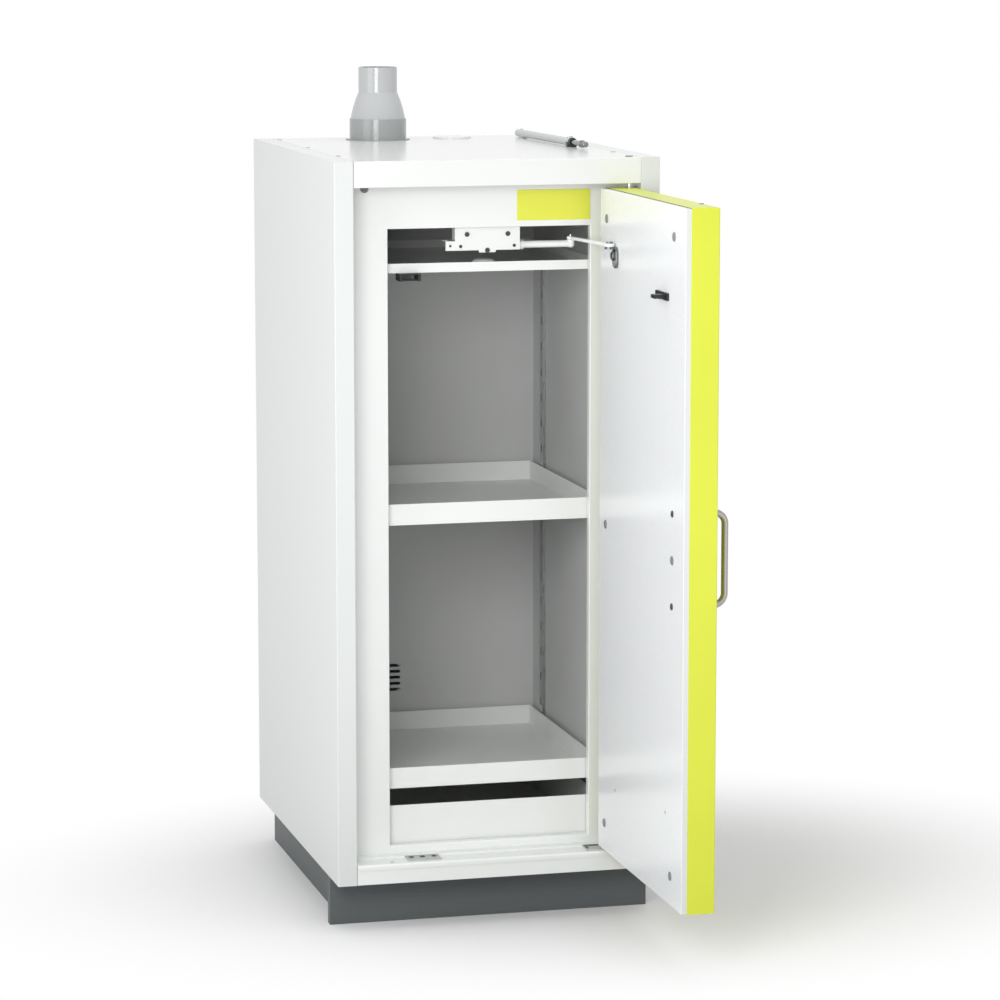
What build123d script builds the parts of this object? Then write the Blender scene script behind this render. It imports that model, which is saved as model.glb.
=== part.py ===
"""Fire-rated safety cabinet for flammable liquids, one hinged door shown open at a right angle.

Origin: centre of the cabinet's footprint on the floor. +Z is up, the front looks along -Y.
"""
import os
from math import cos, radians, sin

from build123d import *

os.makedirs("parts", exist_ok=True)

# Carcass
WIDTH = 600.0
DEPTH = 750.0
HEIGHT = 1400.0
SIDE_THICKNESS = 35.0
SIDE_EDGE_RADIUS = 1.5
FASCIA_HEIGHT = 47.0
FASCIA_RETURN = 30.0
ROOF_SHEET = 2.0
SHEET_JOINT = 0.7
ROOF_BEND_RADIUS = 1.5
ROOF_REAR_DROP = 20.0
BACK_SHEET = 2.0
BASE_SHEET = 3.0

# Plinth
PLINTH_HEIGHT = 88.0
PLINTH_SETBACK = 69.0
PLINTH_BOARD = 18.0
PLINTH_FRONT_OVERHANG = 1.5
PLINTH_SIDE_INSET = 28.5
PLINTH_REAR_GAP = 6.0
FOOT_RADIUS = 22.0
FOOT_DISC = 10.0
FOOT_STEM_RADIUS = 6.0
FOOT_INSET_X = 80.0
FOOT_INSET_Y = 120.0

# Sill and door frame
SILL_HEIGHT = 36.5
SILL_SHEET = 2.0
SILL_NOSE = 10.0
SILL_NOSE_PROUD = 1.5
SILL_EDGE_RADIUS = 4.0
LEDGE_HEIGHT = 3.5
LEDGE_DEPTH = 23.0
FRAME_SETBACK = 66.0
FRAME_SHEET = 3.0
FRAME_EDGE_RADIUS = 2.0
FRAME_LIP = 12.0
STILE_WIDTH = 76.5
TOP_RAIL = 79.0
BOTTOM_RAIL = 17.5

# Insulated inner box
WALL_THICKNESS = 43.0
CEILING_THICKNESS = 82.0
FLOOR_THICKNESS = 37.0
REAR_THICKNESS = 160.0
LINER = 3.0

# Air ducts behind the rear liner
EXHAUST_X = -72.0
EXHAUST_FROM_BACK = 90.0
EXHAUST_DUCT_RADIUS = 50.0
SUPPLY_X = 80.0
SUPPLY_FROM_BACK = 72.0
SUPPLY_DUCT_RADIUS = 36.0
DUCT_WALL = 1.5
DUCT_CLEARANCE = 0.5
DUCT_FOOT = 60.0
EXHAUST_GRILLE_HEIGHT = 225.0
SUPPLY_GRILLE_DROP = 60.0
GRILLE_SLOT_LENGTH = 60.0
GRILLE_SLOT_WIDTH = 6.0
GRILLE_SLOT_PITCH = 12.0
GRILLE_SLOTS = 5

# Exhaust connection on the roof
COLLAR_RADIUS = 55.0
COLLAR_BORE = 53.3
COLLAR_HEIGHT = 41.0
COLLAR_FLANGE_RADIUS = 60.0
COLLAR_FLANGE = 2.0
REDUCER_CLEARANCE = 0.3
REDUCER_CONE = 51.0
REDUCER_BULGE = 1.8
REDUCER_WALL = 2.4
SPIGOT_RADIUS = 37.5
SPIGOT_LENGTH = 48.0
INLET_CAP_RADIUS = 37.5
INLET_CAP_HEIGHT = 3.5
INLET_CAP_DOME = 1.5
INLET_PLUG = 12.0

# Shelves and trays
TRAY_SHEET = 2.0
TRAY_CLEARANCE = 4.0
TRAY_CORNER_RADIUS = 3.0
TRAY_REAR_GAP = 8.0
PLENUM_DROP = 81.0
PLENUM_LIP = 17.0
SHELF_SPACING = 488.5
SHELF_LIP = 38.5
LOWER_SHELF_LIP = 38.0
SUMP_DEPTH = 88.0
SUMP_SLOT = 32.0
UPRIGHT_WIDTH = 24.0
UPRIGHT_DEPTH = 6.0
UPRIGHT_FRONT = 70.0
UPRIGHT_REAR = 83.0
UPRIGHT_FOOT_GAP = 4.0
UPRIGHT_END_MARGIN = 30.0
UPRIGHT_SLOT_PITCH = 50.0
UPRIGHT_SLOT_LENGTH = 16.0
UPRIGHT_SLOT_WIDTH = 6.0
CLIP_REACH = 13.0
CLIP_DROP = 16.0
CLIP_WIDTH = 14.0

# Door
DOOR_GAP_TOP = 8.0
DOOR_GAP_BOTTOM = 4.5
DOOR_GAP_SIDE = 4.0
DOOR_PAN = 50.0
DOOR_PAN_SKIN = 1.5
DOOR_PAN_RADIUS = 2.0
DOOR_PANEL = 10.0
DOOR_PANEL_INSET = 1.0
DOOR_PANEL_RADIUS = 1.0
DOOR_FILL_GAP = 0.2
CAP_RADIUS = 8.0
CAP_HEIGHT = 1.6
CAP_DOME = 0.7
CAP_HINGE_OFFSET = 27.0
CAP_FREE_INSET = 67.0
CAP_END_INSET = 53.0

# Pivots
PIVOT_SETBACK = 10.0
PIVOT_INSET = 19.0
PIVOT_RADIUS = 5.0
PIVOT_RUNNING_GAP = 0.1
PIVOT_BUSH_RADIUS = 7.5
PIVOT_BUSH_LENGTH = 22.0
PIVOT_FLANGE_GAP = 0.3
PIVOT_PLATE = 3.0
PIVOT_PLATE_REACH = 75.0
PIVOT_PLATE_SETBACK = 4.0
PIVOT_PLATE_DEPTH = 38.5
PIVOT_PLATE_MARGIN = 1.0
UPPER_PLATE_REACH = 30.0
THRUST_RADIUS = 8.0
THRUST_GAP = 0.3

# Handle
HANDLE_PITCH = 161.0
HANDLE_TUBE_RADIUS = 6.0
HANDLE_PROJECTION = 40.0
HANDLE_BEND_RADIUS = 20.0
HANDLE_FREE_INSET = 67.0
HANDLE_BOLT_RADIUS = 6.0
HANDLE_BOLT_HEAD = 2.0

# Catch
CATCH_FREE_INSET = 115.0
CATCH_BASE_LENGTH = 70.0
CATCH_BASE_OFFSET = 15.0
CATCH_BASE_HEIGHT = 13.0
CATCH_BASE = 4.0
CATCH_BASE_RADIUS = 2.0
CATCH_TONGUE = 20.0
CATCH_TONGUE_WIDTH = 20.0
CATCH_TONGUE_HEIGHT = 7.0
CATCH_TONGUE_TIP = 1.5
CATCH_ROOT_DEPTH = 5.0
CATCH_ROOT_HEIGHT = 2.5
CATCH_NOTCH_DEPTH = 0.8
CATCH_ROLLER_RADIUS = 2.0
CATCH_ROLLER_GAP = 0.3
CATCH_ROLLER_INSET = 6.0
CATCH_ROOF_GAP = 0.6
KEEPER_CHEEK = 5.0
KEEPER_WIDTH = 39.0
KEEPER_DEPTH = 34.0
KEEPER_FORWARD = 15.0
KEEPER_ROOF = 2.0

# Closing stay above the storage space
STAY_PIVOT_SETBACK = 103.0
STAY_PIVOT_X = -30.0
STAY_DROP = 79.0
STAY_ELBOW_INSET = 28.5
STAY_ELBOW_SETBACK = 96.5
STAY_TUBE_RADIUS = 6.4
STAY_HUB_RADIUS = 13.0
STAY_HUB_HEIGHT = 14.0
STAY_ELBOW_RADIUS = 7.0
STAY_ELBOW_HEIGHT = 14.0
STAY_ELBOW_CHAMFER = 3.5
STAY_COLLAR_RADIUS = 8.8
STAY_COLLAR_WIDTH = 10.0
STAY_COLLAR_DISTANCE = 96.0
STAY_SPINDLE_RADIUS = 6.0
STAY_SPINDLE_LENGTH = 18.0
STAY_SPINDLE_GAP = 0.3
STAY_PLATE = 3.0
STAY_PLATE_SETBACK = 82.0
STAY_PLATE_WIDTH = 121.0
STAY_PLATE_DROP = 7.5
STAY_FLANGE = 36.0
STAY_TAB_WIDTH = 31.0
STAY_TAB_HEIGHT = 4.0
STAY_LUG = 17.0
STAY_LUG_HOLE_RADIUS = 2.5
STAY_BODY_LENGTH = 112.0
STAY_BODY_DEPTH = 40.0
STAY_BODY_HEIGHT = 46.0
STAY_BODY_RADIUS = 5.0
STAY_BODY_GAP = 3.0
STAY_SCREW_SPREAD = 76.0
STAY_SCREW_RISE = 21.5
STAY_SCREW_RADIUS = 4.5
STAY_SMALL_SPREAD = 100.0
STAY_SMALL_RADIUS = 3.0
STAY_SCREW_HEAD = 2.0
STAY_LINK_THICKNESS = 5.4
STAY_LINK_WIDTH = 7.0
STAY_LINK_LIFT = 0.6
STAY_LINK_EYE_RADIUS = 9.0
STAY_STUD_ALONG = 82.0
STAY_STUD_STANDOFF = 11.0
STAY_STUD_RADIUS = 4.0
STAY_STUD_GAP = 0.3
STAY_STUD_HEAD_RADIUS = 6.0
STAY_STUD_HEAD = 3.0
STAY_SHOE_WIDTH = 26.0
STAY_SHOE_HEIGHT = 38.0
STAY_SHOE_OFFSET = 8.0
STAY_SHOE_RADIUS = 11.0
STAY_SHOE = 5.0
STAY_SHOE_EDGE = 1.5
STAY_SHOE_BOSS_DROP = 16.0
STAY_SHOE_BOSS_RADIUS = 8.0
STAY_SHOE_BOSS = 5.0
STAY_SHOE_LEDGE = 4.5
STAY_SHOE_LEDGE_RADIUS = 8.5
STAY_PIN_RADIUS = 2.8
STAY_PIN_HEIGHT = 5.0

# Hydraulic closer on the roof
CLOSER_INSET = 37.5
CLOSER_REAR_GAP = 82.0
CLOSER_ANGLE = 2.5
CLOSER_RISE = 9.0
CLOSER_RADIUS = 7.2
CLOSER_LENGTH = 336.0
CLOSER_ROD_RADIUS = 5.0
CLOSER_ROD_GAP = 0.3
CLOSER_ROD_REACH = 66.0
CLOSER_ROD_SEATED = 80.0
CLOSER_BORE = 150.0
CLOSER_ROD_TIP = 10.0
CLOSER_CLAMP_WIDTH = 10.0
CLOSER_CLAMP_WALL = 2.0
CLOSER_REAR_SADDLE = 310.0
CLOSER_SADDLE_WIDTH = 9.0
CLOSER_SADDLE_LENGTH = 24.0
CLOSER_CLAMP_SCREW_RADIUS = 3.0
CLOSER_CLAMP_SCREW_HEAD = 1.8

# Small fittings
BUFFER_RADIUS = 7.3
BUFFER_HEIGHT = 5.0
BUFFER_INSET_X = 34.0
BUFFER_DROP = 6.0
STRIKE_INSET = 130.0
STRIKE_LENGTH = 62.0
STRIKE_DEPTH = 30.0
STRIKE_SHEET = 2.0
STRIKE_SLOT_LENGTH = 12.0
STRIKE_SLOT_WIDTH = 5.0
STRIKE_SLOT_PITCH = 21.0
STRIKE_SLOT_INSET = 9.0
STRIP_THICKNESS = 1.5
STRIP_WIDTH = 20.0
STRIP_SETBACK = 22.0
ROOF_SCREW_RADIUS = 4.0
ROOF_SCREW_HEAD = 1.5
ROOF_SCREW_EDGE = 7.0
ROOF_SCREW_FRONT = 160.0
ROOF_SCREW_REAR = 50.0
ROOF_SCREWS = 3

# Planes and heights that follow from the sizes above
X_OUT = WIDTH / 2
X_IN = X_OUT - SIDE_THICKNESS
Y_FRONT = -DEPTH / 2
Y_BACK = DEPTH / 2
SILL_TOP = PLINTH_HEIGHT + SILL_HEIGHT
FASCIA_BOTTOM = HEIGHT - FASCIA_HEIGHT
Y_FRAME = Y_FRONT + FRAME_SETBACK
Y_BOX = Y_FRAME + FRAME_SHEET
Y_PLINTH = Y_FRONT + PLINTH_SETBACK
OPENING_HALF = X_IN - STILE_WIDTH
OPENING_BOTTOM = SILL_TOP + BOTTOM_RAIL
OPENING_TOP = FASCIA_BOTTOM - TOP_RAIL
INNER_HALF = X_IN - WALL_THICKNESS
INNER_FLOOR = PLINTH_HEIGHT + FLOOR_THICKNESS
INNER_TOP = HEIGHT - CEILING_THICKNESS
PLENUM_HEIGHT = OPENING_TOP - PLENUM_DROP
LOWER_SHELF_HEIGHT = INNER_FLOOR + SUMP_DEPTH + SUMP_SLOT
SHELF_HEIGHT = LOWER_SHELF_HEIGHT + SHELF_SPACING
Y_INNER_BACK = Y_BACK - REAR_THICKNESS
Y_REAR_SKIN = Y_BACK - BACK_SHEET
ROOF_UNDER = HEIGHT - ROOF_SHEET
BASE_TOP = PLINTH_HEIGHT + BASE_SHEET

PIVOT_X = X_IN - PIVOT_INSET
PIVOT_Y = Y_FRONT + PIVOT_SETBACK
DOOR_BOTTOM = SILL_TOP + DOOR_GAP_BOTTOM
DOOR_TOP = FASCIA_BOTTOM - DOOR_GAP_TOP
DOOR_HEIGHT = DOOR_TOP - DOOR_BOTTOM
DOOR_REACH = PIVOT_X + X_IN - DOOR_GAP_SIDE
DOOR_HEEL = PIVOT_INSET - DOOR_GAP_SIDE
PAN_BACK = PIVOT_SETBACK - DOOR_PAN
DOOR_INNER = PAN_BACK - DOOR_PANEL

# The door's own frame: x runs from the pivot to the free edge, y points out of the outer face
DOOR = Plane(origin=(PIVOT_X, PIVOT_Y, DOOR_BOTTOM), x_dir=(0, -1, 0), z_dir=(0, 0, 1))
DOOR_FACE = Plane(
    origin=DOOR.from_local_coords((0, DOOR_INNER, 0)), x_dir=(0, -1, 0), z_dir=(-1, 0, 0)
)


def save(piece, name):
    """Label a finished piece and write its STEP file."""
    piece.part.label = name
    export_step(piece.part, f"parts/{name}.step")


def board(low, high, mode=Mode.ADD):
    """Rectangular board between two opposite corners."""
    size = Vector(*high) - Vector(*low)
    with Locations(Vector(*low)):
        Box(size.X, size.Y, size.Z, align=(Align.MIN, Align.MIN, Align.MIN), mode=mode)


def sided(side, near, far):
    """Low and high X of something on the left (-1) or right (+1) of the cabinet."""
    return sorted((side * near, side * far))


SIDES = ((-1, "left"), (1, "right"))

# Plinth: front board, two side boards, rear board and a cross board under the middle
PLINTH_SIDE_X = X_OUT - PLINTH_SIDE_INSET
PLINTH_HALF = X_OUT + PLINTH_FRONT_OVERHANG
PLINTH_REAR = Y_BACK - PLINTH_REAR_GAP

with BuildPart() as plinth_front:
    board((-PLINTH_HALF, Y_PLINTH, 0), (PLINTH_HALF, Y_PLINTH + PLINTH_BOARD, PLINTH_HEIGHT))
save(plinth_front, "plinth_front")

for side, word in SIDES:
    with BuildPart() as plinth_side:
        low_x, high_x = sided(side, PLINTH_SIDE_X - PLINTH_BOARD, PLINTH_SIDE_X)
        board(
            (low_x, Y_PLINTH + PLINTH_BOARD, 0),
            (high_x, PLINTH_REAR - PLINTH_BOARD, PLINTH_HEIGHT),
        )
    save(plinth_side, f"plinth_side_{word}")

with BuildPart() as plinth_rear:
    board(
        (-PLINTH_SIDE_X, PLINTH_REAR - PLINTH_BOARD, 0),
        (PLINTH_SIDE_X, PLINTH_REAR, PLINTH_HEIGHT),
    )
save(plinth_rear, "plinth_rear")

with BuildPart() as plinth_cross:
    cross_half = PLINTH_SIDE_X - PLINTH_BOARD
    board(
        (-cross_half, -PLINTH_BOARD / 2, 0),
        (cross_half, PLINTH_BOARD / 2, PLINTH_HEIGHT),
    )
save(plinth_cross, "plinth_cross")

# Levelling feet stand inside the plinth and carry the base sheet
with BuildPart() as levelling_feet:
    foot_x = X_OUT - FOOT_INSET_X
    foot_y = Y_BACK - FOOT_INSET_Y
    with Locations([(x, y, 0) for x in (-foot_x, foot_x) for y in (-foot_y, foot_y)]):
        Cylinder(FOOT_RADIUS, FOOT_DISC, align=(Align.CENTER, Align.CENTER, Align.MIN))
        Cylinder(FOOT_STEM_RADIUS, PLINTH_HEIGHT, align=(Align.CENTER, Align.CENTER, Align.MIN))
save(levelling_feet, "levelling_feet")

# Carcass: boards at the sides, folded sheets for base, back and roof
with BuildPart() as base_panel:
    board((-X_IN, Y_BOX, PLINTH_HEIGHT), (X_IN, Y_REAR_SKIN, BASE_TOP))
save(base_panel, "base_panel")

for side, word in SIDES:
    with BuildPart() as side_panel:
        low_x, high_x = sided(side, X_IN, X_OUT)
        board((low_x, Y_FRONT, PLINTH_HEIGHT), (high_x, Y_BACK, HEIGHT))
        front_edges = side_panel.edges().filter_by(Axis.Z).group_by(Axis.Y)[0]
        fillet(front_edges, SIDE_EDGE_RADIUS)
    save(side_panel, f"side_panel_{word}")

with BuildPart() as back_panel:
    board((-X_IN, Y_REAR_SKIN, PLINTH_HEIGHT), (X_IN, Y_BACK, HEIGHT - ROOF_REAR_DROP))
save(back_panel, "back_panel")

EXHAUST_Y = Y_BACK - EXHAUST_FROM_BACK
SUPPLY_Y = Y_BACK - SUPPLY_FROM_BACK

with BuildPart() as roof_cover:
    with BuildSketch(Plane.YZ):
        with BuildLine():
            Polyline(
                (Y_FRONT + FASCIA_RETURN, FASCIA_BOTTOM),
                (Y_FRONT, FASCIA_BOTTOM),
                (Y_FRONT, HEIGHT),
                (Y_BACK, HEIGHT),
                (Y_BACK, HEIGHT - ROOF_REAR_DROP),
            )
            offset(amount=ROOF_SHEET, side=Side.RIGHT, kind=Kind.INTERSECTION)
        make_face()
    extrude(amount=X_IN - SHEET_JOINT, both=True)
    long_edges = roof_cover.edges().filter_by(Axis.X)
    front_bends = long_edges.group_by(Axis.Y)[0]
    rear_bend = long_edges.group_by(Axis.Y)[-1].sort_by(Axis.Z)[-1]
    fillet(front_bends + ShapeList([rear_bend]), ROOF_BEND_RADIUS)
    with BuildSketch(Plane.XY.offset(ROOF_UNDER)):
        with Locations((EXHAUST_X, EXHAUST_Y)):
            Circle(EXHAUST_DUCT_RADIUS)
        with Locations((SUPPLY_X, SUPPLY_Y)):
            Circle(SUPPLY_DUCT_RADIUS)
    extrude(amount=ROOF_SHEET, mode=Mode.SUBTRACT)
    with BuildSketch(Plane.XY.offset(FASCIA_BOTTOM)):
        with Locations((PIVOT_X, PIVOT_Y)):
            Circle(PIVOT_RADIUS + PIVOT_FLANGE_GAP)
    extrude(amount=ROOF_SHEET, mode=Mode.SUBTRACT)
save(roof_cover, "roof_cover")

# Sill: a folded sheet with a raised ledge along its rear edge
with BuildPart() as sill:
    with BuildSketch(Plane.YZ):
        with BuildLine():
            Polyline(
                (Y_FRONT + SILL_NOSE_PROUD, PLINTH_HEIGHT),
                (Y_FRONT + SILL_NOSE_PROUD, SILL_TOP - SILL_NOSE),
                (Y_FRONT, SILL_TOP - SILL_NOSE),
                (Y_FRONT, SILL_TOP),
                (Y_FRAME - LEDGE_DEPTH, SILL_TOP),
                (Y_FRAME - LEDGE_DEPTH, SILL_TOP + LEDGE_HEIGHT),
                (Y_FRAME, SILL_TOP + LEDGE_HEIGHT),
                (Y_FRAME, PLINTH_HEIGHT),
                close=True,
            )
        make_face()
    extrude(amount=X_IN - SHEET_JOINT, both=True)
    offset(amount=-SILL_SHEET, openings=sill.faces().sort_by(Axis.Z)[0])
    nose_top = sill.edges().filter_by(Axis.X).group_by(Axis.Y)[0].sort_by(Axis.Z)[-1]
    fillet(nose_top, SILL_EDGE_RADIUS)
save(sill, "sill")

# Door frame: a face sheet with a folded lip round the opening
OPENING_MIDDLE = (OPENING_BOTTOM + OPENING_TOP) / 2
OPENING_RISE = OPENING_TOP - OPENING_BOTTOM

with BuildPart() as door_frame:
    with BuildSketch(Plane.XZ.offset(-Y_FRAME)):
        with Locations((0, (PLINTH_HEIGHT + ROOF_UNDER) / 2)):
            Rectangle(2 * X_IN, ROOF_UNDER - PLINTH_HEIGHT)
        with Locations((0, OPENING_MIDDLE)):
            Rectangle(2 * OPENING_HALF, OPENING_RISE, mode=Mode.SUBTRACT)
    extrude(amount=-FRAME_SHEET)
    with BuildSketch(Plane.XZ.offset(-Y_BOX)):
        with Locations((0, OPENING_MIDDLE)):
            Rectangle(2 * (OPENING_HALF + FRAME_SHEET), OPENING_RISE + 2 * FRAME_SHEET)
            Rectangle(2 * OPENING_HALF, OPENING_RISE, mode=Mode.SUBTRACT)
    extrude(amount=-FRAME_LIP)
    opening_edges = door_frame.faces().sort_by(Axis.Y)[0].inner_wires()[0].edges()
    fillet(opening_edges, FRAME_EDGE_RADIUS)
save(door_frame, "door_frame")

# Inner box: liners on insulation boards, with the air ducts in the rear insulation
LINER_HALF = INNER_HALF + LINER
LINER_FLOOR = INNER_FLOOR - LINER
LINER_TOP = INNER_TOP + LINER
Y_LINER_BACK = Y_INNER_BACK + LINER
EXHAUST_GRILLE_Z = INNER_FLOOR + EXHAUST_GRILLE_HEIGHT
SUPPLY_GRILLE_Z = INNER_TOP - SUPPLY_GRILLE_DROP
BRANCH_RADIUS = GRILLE_SLOT_LENGTH / 2 + DUCT_WALL
DUCTS = (
    ("exhaust_duct", EXHAUST_X, EXHAUST_Y, EXHAUST_DUCT_RADIUS, EXHAUST_GRILLE_Z),
    ("supply_duct", SUPPLY_X, SUPPLY_Y, SUPPLY_DUCT_RADIUS, SUPPLY_GRILLE_Z),
)


def duct_body(x, y, radius, grille_z, grow, mode):
    """Upright tube with a branch to the rear liner, grown all round by a wall or a clearance."""
    foot = grille_z - DUCT_FOOT - grow
    with Locations((x, y, foot)):
        upright = (Align.CENTER, Align.CENTER, Align.MIN)
        Cylinder(radius + grow, ROOF_UNDER - foot, align=upright, mode=mode)
    with Locations(Location((x, Y_LINER_BACK, grille_z), (-90, 0, 0))):
        Cylinder(BRANCH_RADIUS + grow, y - Y_LINER_BACK, align=upright, mode=mode)


for side, word in SIDES:
    with BuildPart() as liner:
        low_x, high_x = sided(side, INNER_HALF, LINER_HALF)
        board((low_x, Y_BOX, LINER_FLOOR), (high_x, Y_INNER_BACK, LINER_TOP))
    save(liner, f"liner_{word}")

    with BuildPart() as insulation:
        low_x, high_x = sided(side, LINER_HALF, X_IN)
        board((low_x, Y_BOX, BASE_TOP), (high_x, Y_REAR_SKIN, ROOF_UNDER))
    save(insulation, f"insulation_{word}")

with BuildPart() as liner_floor:
    board((-INNER_HALF, Y_BOX, LINER_FLOOR), (INNER_HALF, Y_INNER_BACK, INNER_FLOOR))
save(liner_floor, "liner_floor")

with BuildPart() as liner_top:
    board((-INNER_HALF, Y_BOX, INNER_TOP), (INNER_HALF, Y_INNER_BACK, LINER_TOP))
save(liner_top, "liner_top")

with BuildPart() as liner_back:
    board((-LINER_HALF, Y_INNER_BACK, LINER_FLOOR), (LINER_HALF, Y_LINER_BACK, LINER_TOP))
    with BuildSketch(Plane.XZ.offset(-Y_INNER_BACK)):
        for _, x, _, _, grille_z in DUCTS:
            with Locations((x, grille_z)):
                with GridLocations(0, GRILLE_SLOT_PITCH, 1, GRILLE_SLOTS):
                    SlotOverall(GRILLE_SLOT_LENGTH - GRILLE_SLOT_PITCH, GRILLE_SLOT_WIDTH)
    extrude(amount=-LINER, mode=Mode.SUBTRACT)
save(liner_back, "liner_back")

with BuildPart() as insulation_bottom:
    board((-LINER_HALF, Y_BOX, BASE_TOP), (LINER_HALF, Y_REAR_SKIN, LINER_FLOOR))
save(insulation_bottom, "insulation_bottom")

with BuildPart() as insulation_top:
    board((-LINER_HALF, Y_BOX, LINER_TOP), (LINER_HALF, Y_REAR_SKIN, ROOF_UNDER))
    for _, x, y, radius, grille_z in DUCTS:
        duct_body(x, y, radius, grille_z, DUCT_WALL + DUCT_CLEARANCE, Mode.SUBTRACT)
save(insulation_top, "insulation_top")

with BuildPart() as insulation_back:
    board((-LINER_HALF, Y_LINER_BACK, LINER_FLOOR), (LINER_HALF, Y_REAR_SKIN, LINER_TOP))
    for _, x, y, radius, grille_z in DUCTS:
        duct_body(x, y, radius, grille_z, DUCT_WALL + DUCT_CLEARANCE, Mode.SUBTRACT)
save(insulation_back, "insulation_back")

for name, x, y, radius, grille_z in DUCTS:
    with BuildPart() as duct:
        duct_body(x, y, radius, grille_z, DUCT_WALL, Mode.ADD)
        duct_body(x, y, radius, grille_z, 0, Mode.SUBTRACT)
    save(duct, name)

# Exhaust collar on the roof, with the reducer that stands in it
with BuildPart(Plane((EXHAUST_X, EXHAUST_Y, HEIGHT))) as exhaust_collar:
    upright = (Align.CENTER, Align.CENTER, Align.MIN)
    Cylinder(COLLAR_FLANGE_RADIUS, COLLAR_FLANGE, align=upright)
    Cylinder(COLLAR_RADIUS, COLLAR_HEIGHT, align=upright)
    Cylinder(COLLAR_BORE, COLLAR_HEIGHT, align=upright, mode=Mode.SUBTRACT)
save(exhaust_collar, "exhaust_collar")

REDUCER_FOOT = COLLAR_BORE - REDUCER_CLEARANCE
CONE_TOP = COLLAR_HEIGHT + REDUCER_CONE
CONE_MIDDLE = ((REDUCER_FOOT + SPIGOT_RADIUS) / 2 + REDUCER_BULGE, COLLAR_HEIGHT + REDUCER_CONE / 2)

with BuildPart() as exhaust_reducer:
    with BuildSketch(Plane((EXHAUST_X, EXHAUST_Y, HEIGHT), x_dir=(1, 0, 0), z_dir=(0, -1, 0))):
        with BuildLine():
            outer = Line((REDUCER_FOOT, 0), (REDUCER_FOOT, COLLAR_HEIGHT))
            bulge = ThreePointArc(outer @ 1, CONE_MIDDLE, (SPIGOT_RADIUS, CONE_TOP))
            rim = Polyline(
                bulge @ 1,
                (SPIGOT_RADIUS, CONE_TOP + SPIGOT_LENGTH),
                (SPIGOT_RADIUS - REDUCER_WALL, CONE_TOP + SPIGOT_LENGTH),
                (SPIGOT_RADIUS - REDUCER_WALL, CONE_TOP),
            )
            Polyline(
                rim @ 1,
                (REDUCER_FOOT - REDUCER_WALL, COLLAR_HEIGHT),
                (REDUCER_FOOT - REDUCER_WALL, 0),
                outer @ 0,
            )
        make_face()
    revolve(axis=Axis((EXHAUST_X, EXHAUST_Y, 0), (0, 0, 1)))
save(exhaust_reducer, "exhaust_reducer")

with BuildPart(Plane((SUPPLY_X, SUPPLY_Y, HEIGHT))) as inlet_cap:
    Cylinder(INLET_CAP_RADIUS, INLET_CAP_HEIGHT, align=upright)
    chamfer(inlet_cap.edges().sort_by(Axis.Z)[-1], INLET_CAP_DOME)
    Cylinder(
        SUPPLY_DUCT_RADIUS - DUCT_CLEARANCE,
        INLET_PLUG,
        align=(Align.CENTER, Align.CENTER, Align.MAX),
    )
save(inlet_cap, "inlet_cap")

# Trays: the panel above the storage space, two shelves and the spill sump
TRAY_FRONT = Y_BOX + FRAME_LIP + TRAY_CLEARANCE
TRAY_BACK = Y_INNER_BACK - TRAY_REAR_GAP
TRAY_HALF = INNER_HALF - UPRIGHT_DEPTH - TRAY_CLEARANCE / 2


def tray(piece, bottom, lip):
    """Open sheet tray with upright lips on all four sides."""
    board((-TRAY_HALF, TRAY_FRONT, bottom), (TRAY_HALF, TRAY_BACK, bottom + lip))
    fillet(piece.edges().filter_by(Axis.Z), TRAY_CORNER_RADIUS)
    offset(amount=-TRAY_SHEET, openings=piece.faces().sort_by(Axis.Z)[-1])


with BuildPart() as plenum_panel:
    tray(plenum_panel, PLENUM_HEIGHT, PLENUM_LIP)
save(plenum_panel, "plenum_panel")

with BuildPart() as middle_shelf:
    tray(middle_shelf, SHELF_HEIGHT, SHELF_LIP)
save(middle_shelf, "middle_shelf")

with BuildPart() as lower_shelf:
    tray(lower_shelf, LOWER_SHELF_HEIGHT, LOWER_SHELF_LIP)
save(lower_shelf, "lower_shelf")

with BuildPart() as spill_sump:
    tray(spill_sump, INNER_FLOOR, SUMP_DEPTH)
save(spill_sump, "spill_sump")

# Slotted uprights on the side liners, and the clips that carry the trays
UPRIGHT_ROWS = (Y_BOX + UPRIGHT_FRONT, Y_INNER_BACK - UPRIGHT_REAR)
UPRIGHT_BOTTOM = INNER_FLOOR + SUMP_DEPTH + UPRIGHT_FOOT_GAP
UPRIGHT_LENGTH = PLENUM_HEIGHT - UPRIGHT_BOTTOM
SLOT_COUNT = int((UPRIGHT_LENGTH - 2 * UPRIGHT_END_MARGIN) / UPRIGHT_SLOT_PITCH) + 1
TRAY_LEVELS = (LOWER_SHELF_HEIGHT, SHELF_HEIGHT, PLENUM_HEIGHT)

with BuildPart() as shelf_uprights:
    for side, _ in SIDES:
        low_x, high_x = sided(side, INNER_HALF - UPRIGHT_DEPTH, INNER_HALF)
        for row in UPRIGHT_ROWS:
            board(
                (low_x, row - UPRIGHT_WIDTH / 2, UPRIGHT_BOTTOM),
                (high_x, row + UPRIGHT_WIDTH / 2, UPRIGHT_BOTTOM + UPRIGHT_LENGTH),
            )
            with BuildSketch(Plane.YZ.offset(low_x)):
                with Locations((row, UPRIGHT_BOTTOM + UPRIGHT_LENGTH / 2)):
                    with GridLocations(0, UPRIGHT_SLOT_PITCH, 1, SLOT_COUNT):
                        Rectangle(UPRIGHT_SLOT_WIDTH, UPRIGHT_SLOT_LENGTH)
            extrude(amount=UPRIGHT_DEPTH, mode=Mode.SUBTRACT)
save(shelf_uprights, "shelf_uprights")

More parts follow.
